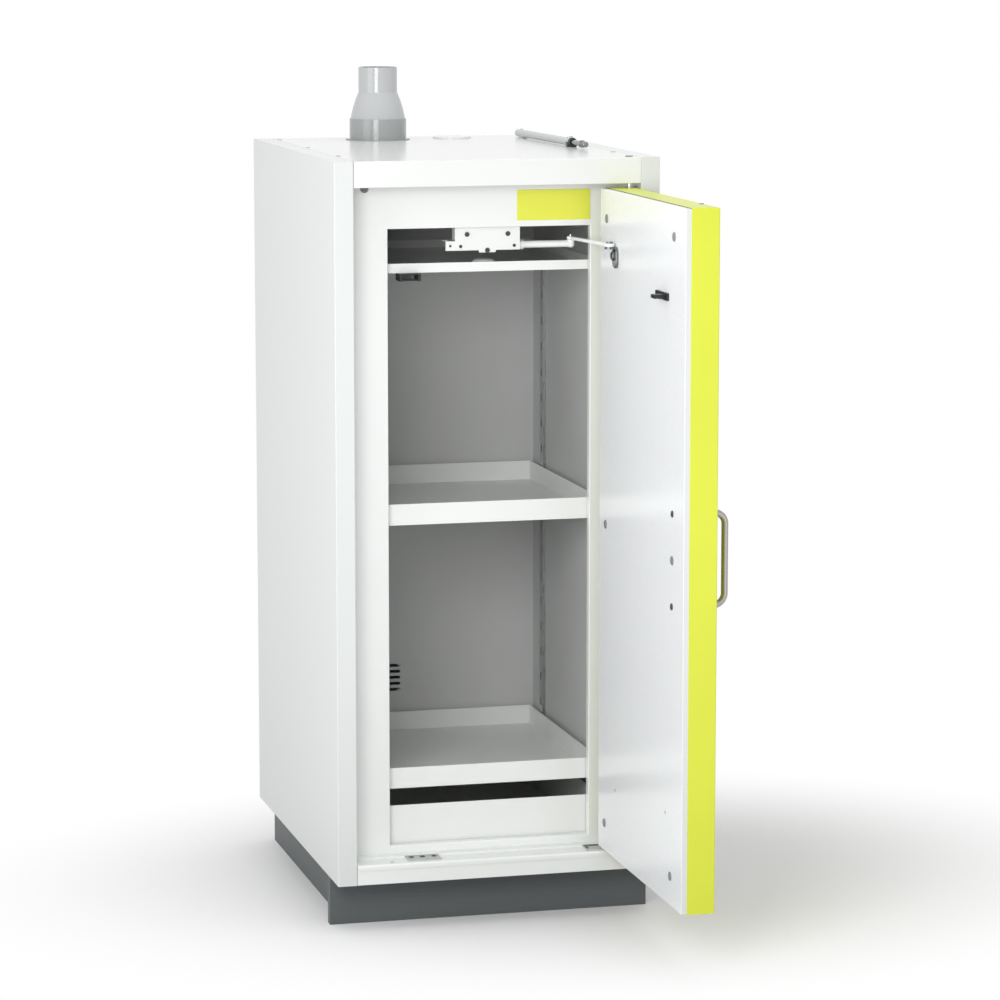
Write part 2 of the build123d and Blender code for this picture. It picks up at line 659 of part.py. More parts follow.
with BuildPart() as shelf_clips:
    for row in UPRIGHT_ROWS:
        with BuildSketch(Plane.XZ.offset(-row)):
            for level in TRAY_LEVELS:
                for side, _ in SIDES:
                    root = side * (INNER_HALF - UPRIGHT_DEPTH)
                    with BuildLine():
                        Polyline(
                            (root, level),
                            (root - side * CLIP_REACH, level),
                            (root, level - CLIP_DROP),
                            close=True,
                        )
                    make_face()
        extrude(amount=CLIP_WIDTH / 2, both=True)
save(shelf_clips, "shelf_clips")

# Door: outer pan, insulation core and inner panel, modelled in the door's own frame
with BuildPart() as door_pan:
    with BuildSketch(DOOR):
        with Locations((-DOOR_HEEL, PAN_BACK)):
            Rectangle(DOOR_REACH + DOOR_HEEL, DOOR_PAN, align=(Align.MIN, Align.MIN))
    extrude(amount=DOOR_HEIGHT)
    outer_edges = door_pan.faces().sort_by(Axis.X)[-1].edges()
    fillet(outer_edges, DOOR_PAN_RADIUS)
    offset(amount=-DOOR_PAN_SKIN, openings=door_pan.faces().sort_by(Axis.X)[0])
    with BuildSketch(DOOR):
        Circle(PIVOT_BUSH_RADIUS + PIVOT_RUNNING_GAP)
    extrude(amount=DOOR_HEIGHT, mode=Mode.SUBTRACT)
save(door_pan, "door_pan")

CORE_EDGE = DOOR_PAN_SKIN + DOOR_FILL_GAP

with BuildPart() as door_core:
    with BuildSketch(DOOR.offset(CORE_EDGE)):
        with Locations((-DOOR_HEEL + CORE_EDGE, PAN_BACK)):
            Rectangle(
                DOOR_REACH + DOOR_HEEL - 2 * CORE_EDGE,
                DOOR_PAN - CORE_EDGE,
                align=(Align.MIN, Align.MIN),
            )
    extrude(amount=DOOR_HEIGHT - 2 * CORE_EDGE)
    with BuildSketch(DOOR, DOOR.offset(DOOR_HEIGHT - PIVOT_BUSH_LENGTH)):
        Circle(PIVOT_BUSH_RADIUS + PIVOT_RUNNING_GAP)
    extrude(amount=PIVOT_BUSH_LENGTH, mode=Mode.SUBTRACT)
    core_edges = door_core.faces().sort_by(Axis.X)[-1].edges()
    fillet(core_edges, DOOR_PAN_RADIUS)
save(door_core, "door_core")

with BuildPart() as door_inner_panel:
    with BuildSketch(DOOR_FACE):
        with Locations((-DOOR_HEEL + DOOR_PANEL_INSET, DOOR_PANEL_INSET)):
            Rectangle(
                DOOR_REACH + DOOR_HEEL - 2 * DOOR_PANEL_INSET,
                DOOR_HEIGHT - 2 * DOOR_PANEL_INSET,
                align=(Align.MIN, Align.MIN),
            )
    extrude(amount=-DOOR_PANEL)
    fillet(door_inner_panel.faces().sort_by(Axis.X)[0].edges(), DOOR_PANEL_RADIUS)
save(door_inner_panel, "door_inner_panel")

with BuildPart(DOOR_FACE) as door_caps:
    cap_rows = (CAP_END_INSET, DOOR_HEIGHT / 2, DOOR_HEIGHT - CAP_END_INSET)
    cap_columns = (CAP_HINGE_OFFSET, DOOR_REACH - CAP_FREE_INSET)
    with Locations([(x, y) for x in cap_columns for y in cap_rows]):
        Cylinder(CAP_RADIUS, CAP_HEIGHT, align=upright)
    cap_rims = door_caps.edges().filter_by(GeomType.CIRCLE).group_by(Axis.X)[0]
    chamfer(cap_rims, CAP_DOME)
save(door_caps, "door_caps")

# Pivots: bushes in the door, pins on plates of the fascia and the sill
with BuildPart() as pivot_bushes:
    with BuildSketch(DOOR, DOOR.offset(DOOR_HEIGHT - PIVOT_BUSH_LENGTH)):
        Circle(PIVOT_BUSH_RADIUS)
        Circle(PIVOT_RADIUS + PIVOT_RUNNING_GAP, mode=Mode.SUBTRACT)
    extrude(amount=PIVOT_BUSH_LENGTH)
save(pivot_bushes, "pivot_bushes")

UPPER_PLATE_BOTTOM = FASCIA_BOTTOM + ROOF_SHEET
UPPER_PIN_FOOT = DOOR_TOP - PIVOT_BUSH_LENGTH

with BuildPart() as upper_pivot:
    board(
        (PIVOT_X - UPPER_PLATE_REACH, Y_FRONT + ROOF_SHEET, UPPER_PLATE_BOTTOM),
        (X_IN, Y_FRONT + FASCIA_RETURN, UPPER_PLATE_BOTTOM + PIVOT_PLATE),
    )
    with Locations((PIVOT_X, PIVOT_Y, UPPER_PIN_FOOT)):
        Cylinder(PIVOT_RADIUS, UPPER_PLATE_BOTTOM + PIVOT_PLATE - UPPER_PIN_FOOT, align=upright)
save(upper_pivot, "upper_pivot")

LOWER_PLATE_TOP = SILL_TOP + PIVOT_PLATE

with BuildPart() as lower_pivot:
    plate_front = Y_FRONT + PIVOT_PLATE_SETBACK
    board(
        (PIVOT_X - PIVOT_PLATE_REACH, plate_front, SILL_TOP),
        (X_IN - PIVOT_PLATE_MARGIN, plate_front + PIVOT_PLATE_DEPTH, LOWER_PLATE_TOP),
    )
    with Locations((PIVOT_X, PIVOT_Y, LOWER_PLATE_TOP)):
        Cylinder(
            PIVOT_RADIUS,
            DOOR_BOTTOM + PIVOT_BUSH_LENGTH - LOWER_PLATE_TOP,
            align=upright,
        )
        Cylinder(THRUST_RADIUS, DOOR_BOTTOM - THRUST_GAP - LOWER_PLATE_TOP, align=upright)
save(lower_pivot, "lower_pivot")

# Bow handle on the outer face, bolted through the door
HANDLE_X = DOOR_REACH - HANDLE_FREE_INSET
HANDLE_AXIS = HANDLE_PROJECTION - HANDLE_TUBE_RADIUS
HANDLE = Plane(
    origin=DOOR.from_local_coords((HANDLE_X, PIVOT_SETBACK, DOOR_HEIGHT / 2)),
    x_dir=(1, 0, 0),
    z_dir=(0, -1, 0),
)

with BuildPart() as door_handle:
    with BuildLine(HANDLE) as bow:
        FilletPolyline(
            (0, -HANDLE_PITCH / 2),
            (HANDLE_AXIS, -HANDLE_PITCH / 2),
            (HANDLE_AXIS, HANDLE_PITCH / 2),
            (0, HANDLE_PITCH / 2),
            radius=HANDLE_BEND_RADIUS,
        )
    with BuildSketch(Plane(origin=bow.line @ 0, z_dir=bow.line % 0)):
        Circle(HANDLE_TUBE_RADIUS)
    sweep(path=bow.line)
save(door_handle, "door_handle")

with BuildPart(DOOR_FACE) as handle_bolts:
    with Locations((HANDLE_X, DOOR_HEIGHT / 2)):
        with GridLocations(0, HANDLE_PITCH, 1, 2):
            Cylinder(HANDLE_BOLT_RADIUS, HANDLE_BOLT_HEAD, align=upright)
    bolt_rims = handle_bolts.edges().filter_by(GeomType.CIRCLE).group_by(Axis.X)[0]
    chamfer(bolt_rims, HANDLE_BOLT_HEAD / 2)
save(handle_bolts, "handle_bolts")

# Snap catch: a notched tongue on the door slides over a roller below the upper panel
CATCH_ALONG = DOOR_REACH - CATCH_FREE_INSET
KEEPER_X = PIVOT_X - CATCH_ALONG
TONGUE_HALF = CATCH_TONGUE_HEIGHT / 2
CATCH_Z = PLENUM_HEIGHT - KEEPER_ROOF - CATCH_ROOF_GAP - TONGUE_HALF
ROLLER_Z = CATCH_Z - TONGUE_HALF - CATCH_ROLLER_GAP - CATCH_ROLLER_RADIUS
KEEPER_HEIGHT = PLENUM_HEIGHT - ROLLER_Z + CATCH_ROLLER_RADIUS
CLOSED_FACE_Y = Y_FRONT + DOOR_PAN + DOOR_PANEL
ROLLER_Y = CLOSED_FACE_Y + CATCH_BASE + CATCH_TONGUE - CATCH_ROLLER_INSET
KEEPER_FRONT = TRAY_FRONT - KEEPER_FORWARD
CHEEK_X = KEEPER_WIDTH / 2
TONGUE_ROOT = DOOR_FACE.from_local_coords((CATCH_ALONG, CATCH_Z - DOOR_BOTTOM, CATCH_BASE))

with BuildPart() as door_catch:
    with BuildSketch(DOOR_FACE):
        with Locations((CATCH_ALONG - CATCH_BASE_OFFSET, CATCH_Z - DOOR_BOTTOM)):
            RectangleRounded(CATCH_BASE_LENGTH, CATCH_BASE_HEIGHT, CATCH_BASE_RADIUS)
    extrude(amount=CATCH_BASE)
    with BuildSketch(Plane(TONGUE_ROOT, x_dir=(-1, 0, 0), z_dir=(0, 1, 0))):
        with BuildLine():
            Polyline(
                (0, TONGUE_HALF),
                (CATCH_TONGUE - CATCH_TONGUE_TIP, TONGUE_HALF),
                (CATCH_TONGUE, TONGUE_HALF - CATCH_TONGUE_TIP),
                (CATCH_TONGUE, CATCH_TONGUE_TIP - TONGUE_HALF),
                (CATCH_TONGUE - CATCH_TONGUE_TIP, -TONGUE_HALF),
                (CATCH_ROOT_DEPTH, -TONGUE_HALF),
                (0, -TONGUE_HALF - CATCH_ROOT_HEIGHT),
                close=True,
            )
        make_face()
        notch_drop = TONGUE_HALF + CATCH_ROLLER_RADIUS - CATCH_NOTCH_DEPTH
        with Locations((CATCH_TONGUE - CATCH_ROLLER_INSET, -notch_drop)):
            Circle(CATCH_ROLLER_RADIUS, mode=Mode.SUBTRACT)
    extrude(amount=CATCH_TONGUE_WIDTH / 2, both=True)
save(door_catch, "door_catch")

with BuildPart() as catch_keeper:
    board(
        (KEEPER_X - CHEEK_X, KEEPER_FRONT, PLENUM_HEIGHT - KEEPER_ROOF),
        (KEEPER_X + CHEEK_X, KEEPER_FRONT + KEEPER_DEPTH, PLENUM_HEIGHT),
    )
    for cheek in (KEEPER_X - CHEEK_X, KEEPER_X + CHEEK_X - KEEPER_CHEEK):
        board(
            (cheek, KEEPER_FRONT, PLENUM_HEIGHT - KEEPER_HEIGHT),
            (cheek + KEEPER_CHEEK, KEEPER_FRONT + KEEPER_DEPTH, PLENUM_HEIGHT - KEEPER_ROOF),
        )
save(catch_keeper, "catch_keeper")

with BuildPart() as keeper_roller:
    with Locations(Location((KEEPER_X, ROLLER_Y, ROLLER_Z), (0, 90, 0))):
        Cylinder(CATCH_ROLLER_RADIUS, KEEPER_WIDTH - 2 * KEEPER_CHEEK)
save(keeper_roller, "keeper_roller")

# Closing stay: bracket, closer body, arm on the spindle, link to the shoe on the door
STAY_HEIGHT = INNER_TOP - STAY_DROP
STAY_PIVOT = Vector(STAY_PIVOT_X, Y_FRONT + STAY_PIVOT_SETBACK, STAY_HEIGHT)
ELBOW = Vector(OPENING_HALF - STAY_ELBOW_INSET, Y_FRONT + STAY_ELBOW_SETBACK, STAY_HEIGHT)
STAY_ARM_WAY = ELBOW - STAY_PIVOT
STAY_ARM_LENGTH = STAY_ARM_WAY.length
STAY_ARM_PLANE = Plane(origin=STAY_PIVOT, x_dir=STAY_ARM_WAY, z_dir=(0, 0, 1))
LINK_BOTTOM = STAY_HEIGHT + STAY_ELBOW_HEIGHT / 2 + STAY_LINK_LIFT
STUD = DOOR.from_local_coords(
    (STAY_STUD_ALONG, DOOR_INNER - STAY_STUD_STANDOFF, LINK_BOTTOM - DOOR_BOTTOM)
)
LINK_WAY = Vector(ELBOW.X - STUD.X, ELBOW.Y - STUD.Y, 0)
LINK_LENGTH = LINK_WAY.length
LINK_PLANE = Plane(origin=STUD, x_dir=LINK_WAY, z_dir=(0, 0, 1))

STAY_PLATE_FRONT = Y_FRONT + STAY_PLATE_SETBACK
STAY_PLATE_BACK = STAY_PLATE_FRONT + STAY_PLATE
STAY_PLATE_BOTTOM = STAY_HEIGHT - STAY_PLATE_DROP
STAY_PLATE_HALF = STAY_PLATE_WIDTH / 2

with BuildPart() as stay_bracket:
    with BuildSketch(Plane.XZ.offset(-STAY_PLATE_FRONT)):
        with Locations((0, STAY_PLATE_BOTTOM)):
            Rectangle(
                STAY_PLATE_WIDTH,
                INNER_TOP - STAY_PLATE_BOTTOM,
                align=(Align.CENTER, Align.MIN),
            )
            Rectangle(STAY_TAB_WIDTH, STAY_TAB_HEIGHT, align=(Align.CENTER, Align.MAX))
        with Locations((-STAY_PLATE_HALF, STAY_PLATE_BOTTOM)):
            Rectangle(STAY_LUG, STAY_LUG, align=(Align.MAX, Align.MIN))
        with Locations((-STAY_PLATE_HALF - STAY_LUG / 2, STAY_PLATE_BOTTOM + STAY_LUG / 2)):
            Circle(STAY_LUG_HOLE_RADIUS, mode=Mode.SUBTRACT)
    extrude(amount=-STAY_PLATE)
    board(
        (-STAY_PLATE_HALF, STAY_PLATE_BACK, INNER_TOP - STAY_PLATE),
        (STAY_PLATE_HALF, STAY_PLATE_BACK + STAY_FLANGE, INNER_TOP),
    )
save(stay_bracket, "stay_bracket")

STAY_BODY_BOTTOM = STAY_HEIGHT + STAY_HUB_HEIGHT / 2 + STAY_BODY_GAP

with BuildPart() as stay_closer_body:
    with BuildSketch(Plane.XY.offset(STAY_BODY_BOTTOM)):
        with Locations((0, STAY_PLATE_BACK)):
            Rectangle(STAY_BODY_LENGTH, STAY_BODY_DEPTH, align=(Align.CENTER, Align.MIN))
    extrude(amount=STAY_BODY_HEIGHT)
    rear_edges = stay_closer_body.faces().sort_by(Axis.Y)[-1].edges()
    fillet(rear_edges, STAY_BODY_RADIUS)
    with BuildSketch(Plane(STAY_PIVOT).offset(STAY_BODY_BOTTOM - STAY_HEIGHT)):
        Circle(STAY_SPINDLE_RADIUS + STAY_SPINDLE_GAP)
    extrude(amount=STAY_SPINDLE_LENGTH, mode=Mode.SUBTRACT)
save(stay_closer_body, "stay_closer_body")

with BuildPart(Plane.XZ.offset(-STAY_PLATE_FRONT)) as stay_screws:
    with Locations((0, STAY_HEIGHT + STAY_SCREW_RISE)):
        with GridLocations(STAY_SCREW_SPREAD, 0, 2, 1):
            Cylinder(STAY_SCREW_RADIUS, STAY_SCREW_HEAD, align=upright)
    with Locations((0, STAY_HEIGHT)):
        with GridLocations(STAY_SMALL_SPREAD, 0, 2, 1):
            Cylinder(STAY_SMALL_RADIUS, STAY_SCREW_HEAD, align=upright)
    with Locations((0, STAY_PLATE_BOTTOM)):
        Cylinder(STAY_TAB_HEIGHT, STAY_SCREW_HEAD, align=upright)
save(stay_screws, "stay_screws")

with BuildPart(STAY_ARM_PLANE) as stay_arm:
    Cylinder(STAY_HUB_RADIUS, STAY_HUB_HEIGHT)
    with Locations((0, 0, STAY_HUB_HEIGHT / 2)):
        Cylinder(
            STAY_SPINDLE_RADIUS,
            STAY_BODY_GAP + STAY_SPINDLE_LENGTH - STAY_SPINDLE_GAP,
            align=upright,
        )
    with Locations(Location((0, 0, 0), (0, 90, 0))):
        Cylinder(STAY_TUBE_RADIUS, STAY_ARM_LENGTH, align=upright)
    with Locations(Location((STAY_COLLAR_DISTANCE, 0, 0), (0, 90, 0))):
        Cylinder(STAY_COLLAR_RADIUS, STAY_COLLAR_WIDTH)
    with Locations((STAY_ARM_LENGTH, 0, -STAY_ELBOW_HEIGHT / 2)):
        Cylinder(STAY_ELBOW_RADIUS - STAY_ELBOW_CHAMFER, STAY_ELBOW_HEIGHT, align=upright)
        Cone(
            STAY_ELBOW_RADIUS - STAY_ELBOW_CHAMFER,
            STAY_ELBOW_RADIUS,
            STAY_ELBOW_CHAMFER,
            align=upright,
        )
    with Locations((STAY_ARM_LENGTH, 0, STAY_ELBOW_CHAMFER - STAY_ELBOW_HEIGHT / 2)):
        Cylinder(STAY_ELBOW_RADIUS, STAY_ELBOW_HEIGHT - STAY_ELBOW_CHAMFER, align=upright)
save(stay_arm, "stay_arm")

with BuildPart() as stay_link:
    with BuildSketch(LINK_PLANE):
        Circle(STAY_LINK_EYE_RADIUS)
        Rectangle(LINK_LENGTH, STAY_LINK_WIDTH, align=(Align.MIN, Align.CENTER))
        with Locations((LINK_LENGTH, 0)):
            Circle(STAY_LINK_WIDTH)
        Circle(STAY_STUD_RADIUS + STAY_STUD_GAP, mode=Mode.SUBTRACT)
    extrude(amount=STAY_LINK_THICKNESS)
save(stay_link, "stay_link")

with BuildPart(LINK_PLANE.offset(STAY_LINK_THICKNESS)) as elbow_pin:
    with Locations((LINK_LENGTH, 0)):
        Cylinder(STAY_PIN_RADIUS, STAY_PIN_HEIGHT, align=upright)
    chamfer(elbow_pin.edges().sort_by(Axis.Z)[-1], STAY_PIN_RADIUS / 2)
save(elbow_pin, "elbow_pin")

SHOE_TOP = LINK_BOTTOM - STAY_STUD_GAP - DOOR_BOTTOM

with BuildPart() as stay_shoe:
    shoe_along = STAY_STUD_ALONG + STAY_SHOE_OFFSET
    with BuildSketch(DOOR_FACE):
        with Locations((shoe_along, SHOE_TOP - STAY_SHOE_HEIGHT / 2)):
            RectangleRounded(STAY_SHOE_WIDTH, STAY_SHOE_HEIGHT, STAY_SHOE_RADIUS)
    extrude(amount=STAY_SHOE)
    chamfer(stay_shoe.faces().sort_by(Axis.X)[0].edges(), STAY_SHOE_EDGE)
    with BuildSketch(DOOR_FACE.offset(STAY_SHOE)):
        with Locations((shoe_along, SHOE_TOP - STAY_SHOE_BOSS_DROP)):
            Circle(STAY_SHOE_BOSS_RADIUS)
    extrude(amount=STAY_SHOE_BOSS)
    chamfer(stay_shoe.faces().sort_by(Axis.X)[0].edges(), STAY_SHOE_EDGE)
    with BuildSketch(DOOR.offset(SHOE_TOP - STAY_SHOE_LEDGE)):
        with Locations((STAY_STUD_ALONG, DOOR_INNER)):
            Rectangle(2 * STAY_SHOE_LEDGE_RADIUS, STAY_STUD_STANDOFF, align=(Align.CENTER, Align.MAX))
        with Locations((STAY_STUD_ALONG, DOOR_INNER - STAY_STUD_STANDOFF)):
            Circle(STAY_SHOE_LEDGE_RADIUS)
    extrude(amount=STAY_SHOE_LEDGE)
    with BuildSketch(DOOR.offset(SHOE_TOP)):
        with Locations((STAY_STUD_ALONG, DOOR_INNER - STAY_STUD_STANDOFF)):
            Circle(STAY_STUD_RADIUS)
    extrude(amount=STAY_LINK_THICKNESS + 2 * STAY_STUD_GAP)
    with BuildSketch(DOOR.offset(SHOE_TOP + STAY_LINK_THICKNESS + 2 * STAY_STUD_GAP)):
        with Locations((STAY_STUD_ALONG, DOOR_INNER - STAY_STUD_STANDOFF)):
            Circle(STAY_STUD_HEAD_RADIUS)
    extrude(amount=STAY_STUD_HEAD)
save(stay_shoe, "stay_shoe")

# Roof closer: cylinder in a clamp and a saddle, with a piston rod that points at the door's pivot
CLOSER_WAY = Vector(sin(radians(CLOSER_ANGLE)), -cos(radians(CLOSER_ANGLE)), 0)
CLOSER = Plane(
    origin=(X_IN - CLOSER_INSET, Y_BACK - CLOSER_REAR_GAP - CLOSER_LENGTH, HEIGHT + CLOSER_RISE),
    x_dir=(0, 0, 1),
    z_dir=CLOSER_WAY,
)
CLAMP_RADIUS = CLOSER_RADIUS + CLOSER_CLAMP_WALL

with BuildPart(CLOSER) as closer_cylinder:
    Cylinder(CLOSER_RADIUS, CLOSER_LENGTH, align=(Align.CENTER, Align.CENTER, Align.MAX))
    with BuildSketch(CLOSER):
        Circle(CLOSER_ROD_RADIUS + CLOSER_ROD_GAP)
    extrude(amount=-CLOSER_BORE, mode=Mode.SUBTRACT)
save(closer_cylinder, "closer_cylinder")

with BuildPart() as closer_rod:
    with BuildSketch(CLOSER.offset(-CLOSER_ROD_SEATED)):
        Circle(CLOSER_ROD_RADIUS)
    extrude(amount=CLOSER_ROD_SEATED + CLOSER_ROD_REACH)
    with BuildSketch(CLOSER.offset(CLOSER_ROD_REACH - CLOSER_ROD_TIP)):
        Circle(CLOSER_RADIUS - CLOSER_ROD_GAP)
    extrude(amount=CLOSER_ROD_TIP)
save(closer_rod, "closer_rod")

with BuildPart() as closer_clamps:
    clamp_plane = CLOSER.offset(-CLOSER_CLAMP_WIDTH / 2)
    with BuildSketch(clamp_plane):
        Circle(CLAMP_RADIUS)
        Rectangle(CLOSER_RISE, 2 * CLAMP_RADIUS, align=(Align.MAX, Align.CENTER))
        with Locations((-CLOSER_RISE, 0)):
            Rectangle(
                CLAMP_RADIUS * 2,
                CLAMP_RADIUS * 4,
                align=(Align.MAX, Align.CENTER),
                mode=Mode.SUBTRACT,
            )
        Circle(CLOSER_RADIUS, mode=Mode.SUBTRACT)
    extrude(amount=CLOSER_CLAMP_WIDTH / 2, both=True)
    with Locations(clamp_plane.origin + Vector(0, 0, CLAMP_RADIUS)):
        Cylinder(CLOSER_CLAMP_SCREW_RADIUS, 2 * CLOSER_CLAMP_SCREW_HEAD)
    with BuildSketch(CLOSER.offset(-CLOSER_REAR_SADDLE)):
        Rectangle(CLOSER_RISE, CLOSER_SADDLE_WIDTH, align=(Align.MAX, Align.CENTER))
        Circle(CLOSER_RADIUS, mode=Mode.SUBTRACT)
    extrude(amount=CLOSER_SADDLE_LENGTH / 2, both=True)
save(closer_clamps, "closer_clamps")

# Small fittings
with BuildPart() as door_buffer:
    with BuildSketch(Plane.XZ.offset(-Y_FRAME)):
        with Locations((-X_IN + BUFFER_INSET_X, FASCIA_BOTTOM - BUFFER_DROP)):
            Circle(BUFFER_RADIUS)
    extrude(amount=BUFFER_HEIGHT)
    chamfer(door_buffer.edges().sort_by(Axis.Y)[0], BUFFER_HEIGHT / 2)
save(door_buffer, "door_buffer")

with BuildPart() as sill_strike:
    ledge_face = Y_FRAME - LEDGE_DEPTH
    strike_x = -X_IN + STRIKE_INSET
    strike_ends = (strike_x - STRIKE_LENGTH / 2, strike_x + STRIKE_LENGTH / 2)
    board(
        (strike_ends[0], ledge_face - STRIKE_DEPTH, SILL_TOP),
        (strike_ends[1], ledge_face, SILL_TOP + STRIKE_SHEET),
    )
    board(
        (strike_ends[0], ledge_face - STRIKE_SHEET, SILL_TOP + STRIKE_SHEET),
        (strike_ends[1], ledge_face, SILL_TOP + LEDGE_HEIGHT),
    )
    with BuildSketch(Plane.XY.offset(SILL_TOP)):
        with Locations((strike_x, ledge_face - STRIKE_SLOT_INSET)):
            with GridLocations(STRIKE_SLOT_PITCH, 0, 3, 1):
                SlotOverall(STRIKE_SLOT_LENGTH, STRIKE_SLOT_WIDTH)
    extrude(amount=STRIKE_SHEET, mode=Mode.SUBTRACT)
save(sill_strike, "sill_strike")

with BuildPart() as intumescent_strips:
    for side, _ in SIDES:
        low_x, high_x = sided(side, X_IN - STRIP_THICKNESS, X_IN)
        strip_front = Y_FRONT + STRIP_SETBACK
        board((low_x, strip_front, DOOR_BOTTOM), (high_x, strip_front + STRIP_WIDTH, DOOR_TOP))
save(intumescent_strips, "intumescent_strips")

with BuildPart(Plane.XY.offset(HEIGHT)) as roof_screws:
    screw_x = X_IN - ROOF_SCREW_EDGE
    row_pitch = (DEPTH - ROOF_SCREW_FRONT - ROOF_SCREW_REAR) / (ROOF_SCREWS - 1)
    row_middle = (ROOF_SCREW_FRONT - ROOF_SCREW_REAR) / 2
    with Locations((0, row_middle)):
        with GridLocations(2 * screw_x, row_pitch, 2, ROOF_SCREWS):
            Cylinder(ROOF_SCREW_RADIUS, ROOF_SCREW_HEAD, align=upright)
    chamfer(roof_screws.edges().group_by(Axis.Z)[-1], ROOF_SCREW_HEAD / 2)
save(roof_screws, "roof_screws")

# Placing values that the record repeats
print("door pivot", PIVOT_X, PIVOT_Y, "stay pivot", STAY_PIVOT, "elbow", ELBOW, "stud", STUD)
print("closer way", CLOSER_WAY, "link height", LINK_BOTTOM, "shelf heights", TRAY_LEVELS)
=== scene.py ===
# %% [markdown]
# # Dressing a flammable safety cabinet
# The CAD model already holds every panel, shelf and hinge of the cabinet in its true size.
# Here it is loaded as a fixed frame, lit as in a plain studio, given its finishes, and completed
# with the small parts that a drawing leaves out: screw heads, end caps, thin strips of painted
# shade.
# Everything is in metres, in the frame of the CAD model: X to the right, the front along -Y,
# Z up, and the origin on the floor under the middle of the cabinet.

# %% Load the imported model
import math

import bpy
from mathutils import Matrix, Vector


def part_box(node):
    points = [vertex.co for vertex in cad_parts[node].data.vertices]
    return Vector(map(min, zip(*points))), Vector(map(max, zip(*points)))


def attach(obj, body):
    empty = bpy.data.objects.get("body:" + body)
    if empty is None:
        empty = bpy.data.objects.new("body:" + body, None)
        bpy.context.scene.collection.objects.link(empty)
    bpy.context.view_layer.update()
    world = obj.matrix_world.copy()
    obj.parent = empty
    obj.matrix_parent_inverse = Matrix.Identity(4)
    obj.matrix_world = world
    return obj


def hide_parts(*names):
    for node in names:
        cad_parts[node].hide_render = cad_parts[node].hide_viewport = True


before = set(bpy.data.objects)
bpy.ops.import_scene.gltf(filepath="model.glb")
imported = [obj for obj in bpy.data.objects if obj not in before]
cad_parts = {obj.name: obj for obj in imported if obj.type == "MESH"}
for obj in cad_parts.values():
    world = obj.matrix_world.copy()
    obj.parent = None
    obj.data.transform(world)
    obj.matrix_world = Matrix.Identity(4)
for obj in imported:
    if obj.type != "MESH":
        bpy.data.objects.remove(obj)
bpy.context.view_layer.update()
MM = 0.001

# %% [markdown]
# ## Camera
# The picture was taken from the front left, a little above the roof, with a long lens.
# A long lens keeps the upright edges nearly parallel. The place and turn below were worked out
# from the corners of the cabinet, so they are typed in as numbers instead of aimed by eye.

# %% Camera
CAMERA_PLACE = (-1.7172, -7.0402, 1.8260)
CAMERA_DOWN = 0.14991
CAMERA_TURN = -0.25248
SENSOR_WIDTH = 36
LENS = 138.834

bpy.ops.object.select_all(action="DESELECT")
bpy.ops.object.camera_add(
    location=CAMERA_PLACE, rotation=(math.pi / 2 - CAMERA_DOWN, 0, CAMERA_TURN)
)
camera = bpy.context.object
camera.name = "photo_camera"
camera.data.sensor_width = SENSOR_WIDTH
camera.data.lens = LENS
bpy.context.scene.camera = camera
bpy.context.scene.view_settings.view_transform = "Standard"
print("camera with a lens of", camera.data.lens, "mm")

# %% [markdown]
# ## White studio
# The background is plain white. One could stand a white wall behind the cabinet, but a wall
# needs its own light. The world does it better: rays that reach the camera, or that a shiny
# surface sends on, see white at a strength of 1, and all other rays get a softer sky light.

# %% World
SKY_LIGHT = 0.66

world = bpy.data.worlds.new("white_studio")
bpy.context.scene.world = world
world.use_nodes = True
sky = world.node_tree.nodes
sky_links = world.node_tree.links


def seen_ray(nodes, links):
    """1 for rays of the camera, of reflections and of clear materials, 0 for the rest."""
    path = nodes.new("ShaderNodeLightPath")
    total = None
    for kind in ("Is Camera Ray", "Is Glossy Ray", "Is Transmission Ray"):
        if total is None:
            total = path.outputs[kind]
            continue
        larger = nodes.new("ShaderNodeMath")
        larger.operation = "MAXIMUM"
        links.new(total, larger.inputs[0])
        links.new(path.outputs[kind], larger.inputs[1])
        total = larger.outputs[0]
    return total


soft_sky = sky["Background"]
soft_sky.inputs["Color"].default_value = (1, 1, 1, 1)
soft_sky.inputs["Strength"].default_value = SKY_LIGHT
white_view = sky.new("ShaderNodeBackground")
white_view.inputs["Color"].default_value = (1, 1, 1, 1)
white_view.inputs["Strength"].default_value = 1
sky_mix = sky.new("ShaderNodeMixShader")
sky_links.new(seen_ray(sky, sky_links), sky_mix.inputs["Fac"])
sky_links.new(soft_sky.outputs[0], sky_mix.inputs[1])
sky_links.new(white_view.outputs[0], sky_mix.inputs[2])
sky_links.new(sky_mix.outputs[0], sky["World Output"].inputs["Surface"])
print("sky light", SKY_LIGHT)

# %% [markdown]
# The floor is a pale disc that catches the soft shadow of the cabinet. A square plane would do
# as well, but a disc ends at the same distance all round, so no corner of it can show.

# %% Floor
FLOOR_RADIUS = 14.0
FLOOR_SIDES = 96

bpy.ops.object.select_all(action="DESELECT")
bpy.ops.mesh.primitive_circle_add(
    vertices=FLOOR_SIDES, radius=FLOOR_RADIUS, fill_type="NGON"
)
floor = bpy.context.object
floor.name = "studio_floor"
print("floor of radius", FLOOR_RADIUS, "m")

# %% [markdown]
# Far out the floor has to melt into the background, so what the camera sees of it fades, with
# the distance from the middle of the shadow, from lit paper to the plain white of the world. The
# light that it throws back is kept low close to the cabinet, because the foot of the real one
# gets little light from below. First come the distance and two helpers, then the paper itself.

# %% Distance from the shadow
SHADOW_MIDDLE = (0.2, -0.05, 0.0)
SHADOW_SPAN = (1.25, 0.95, 1.0)

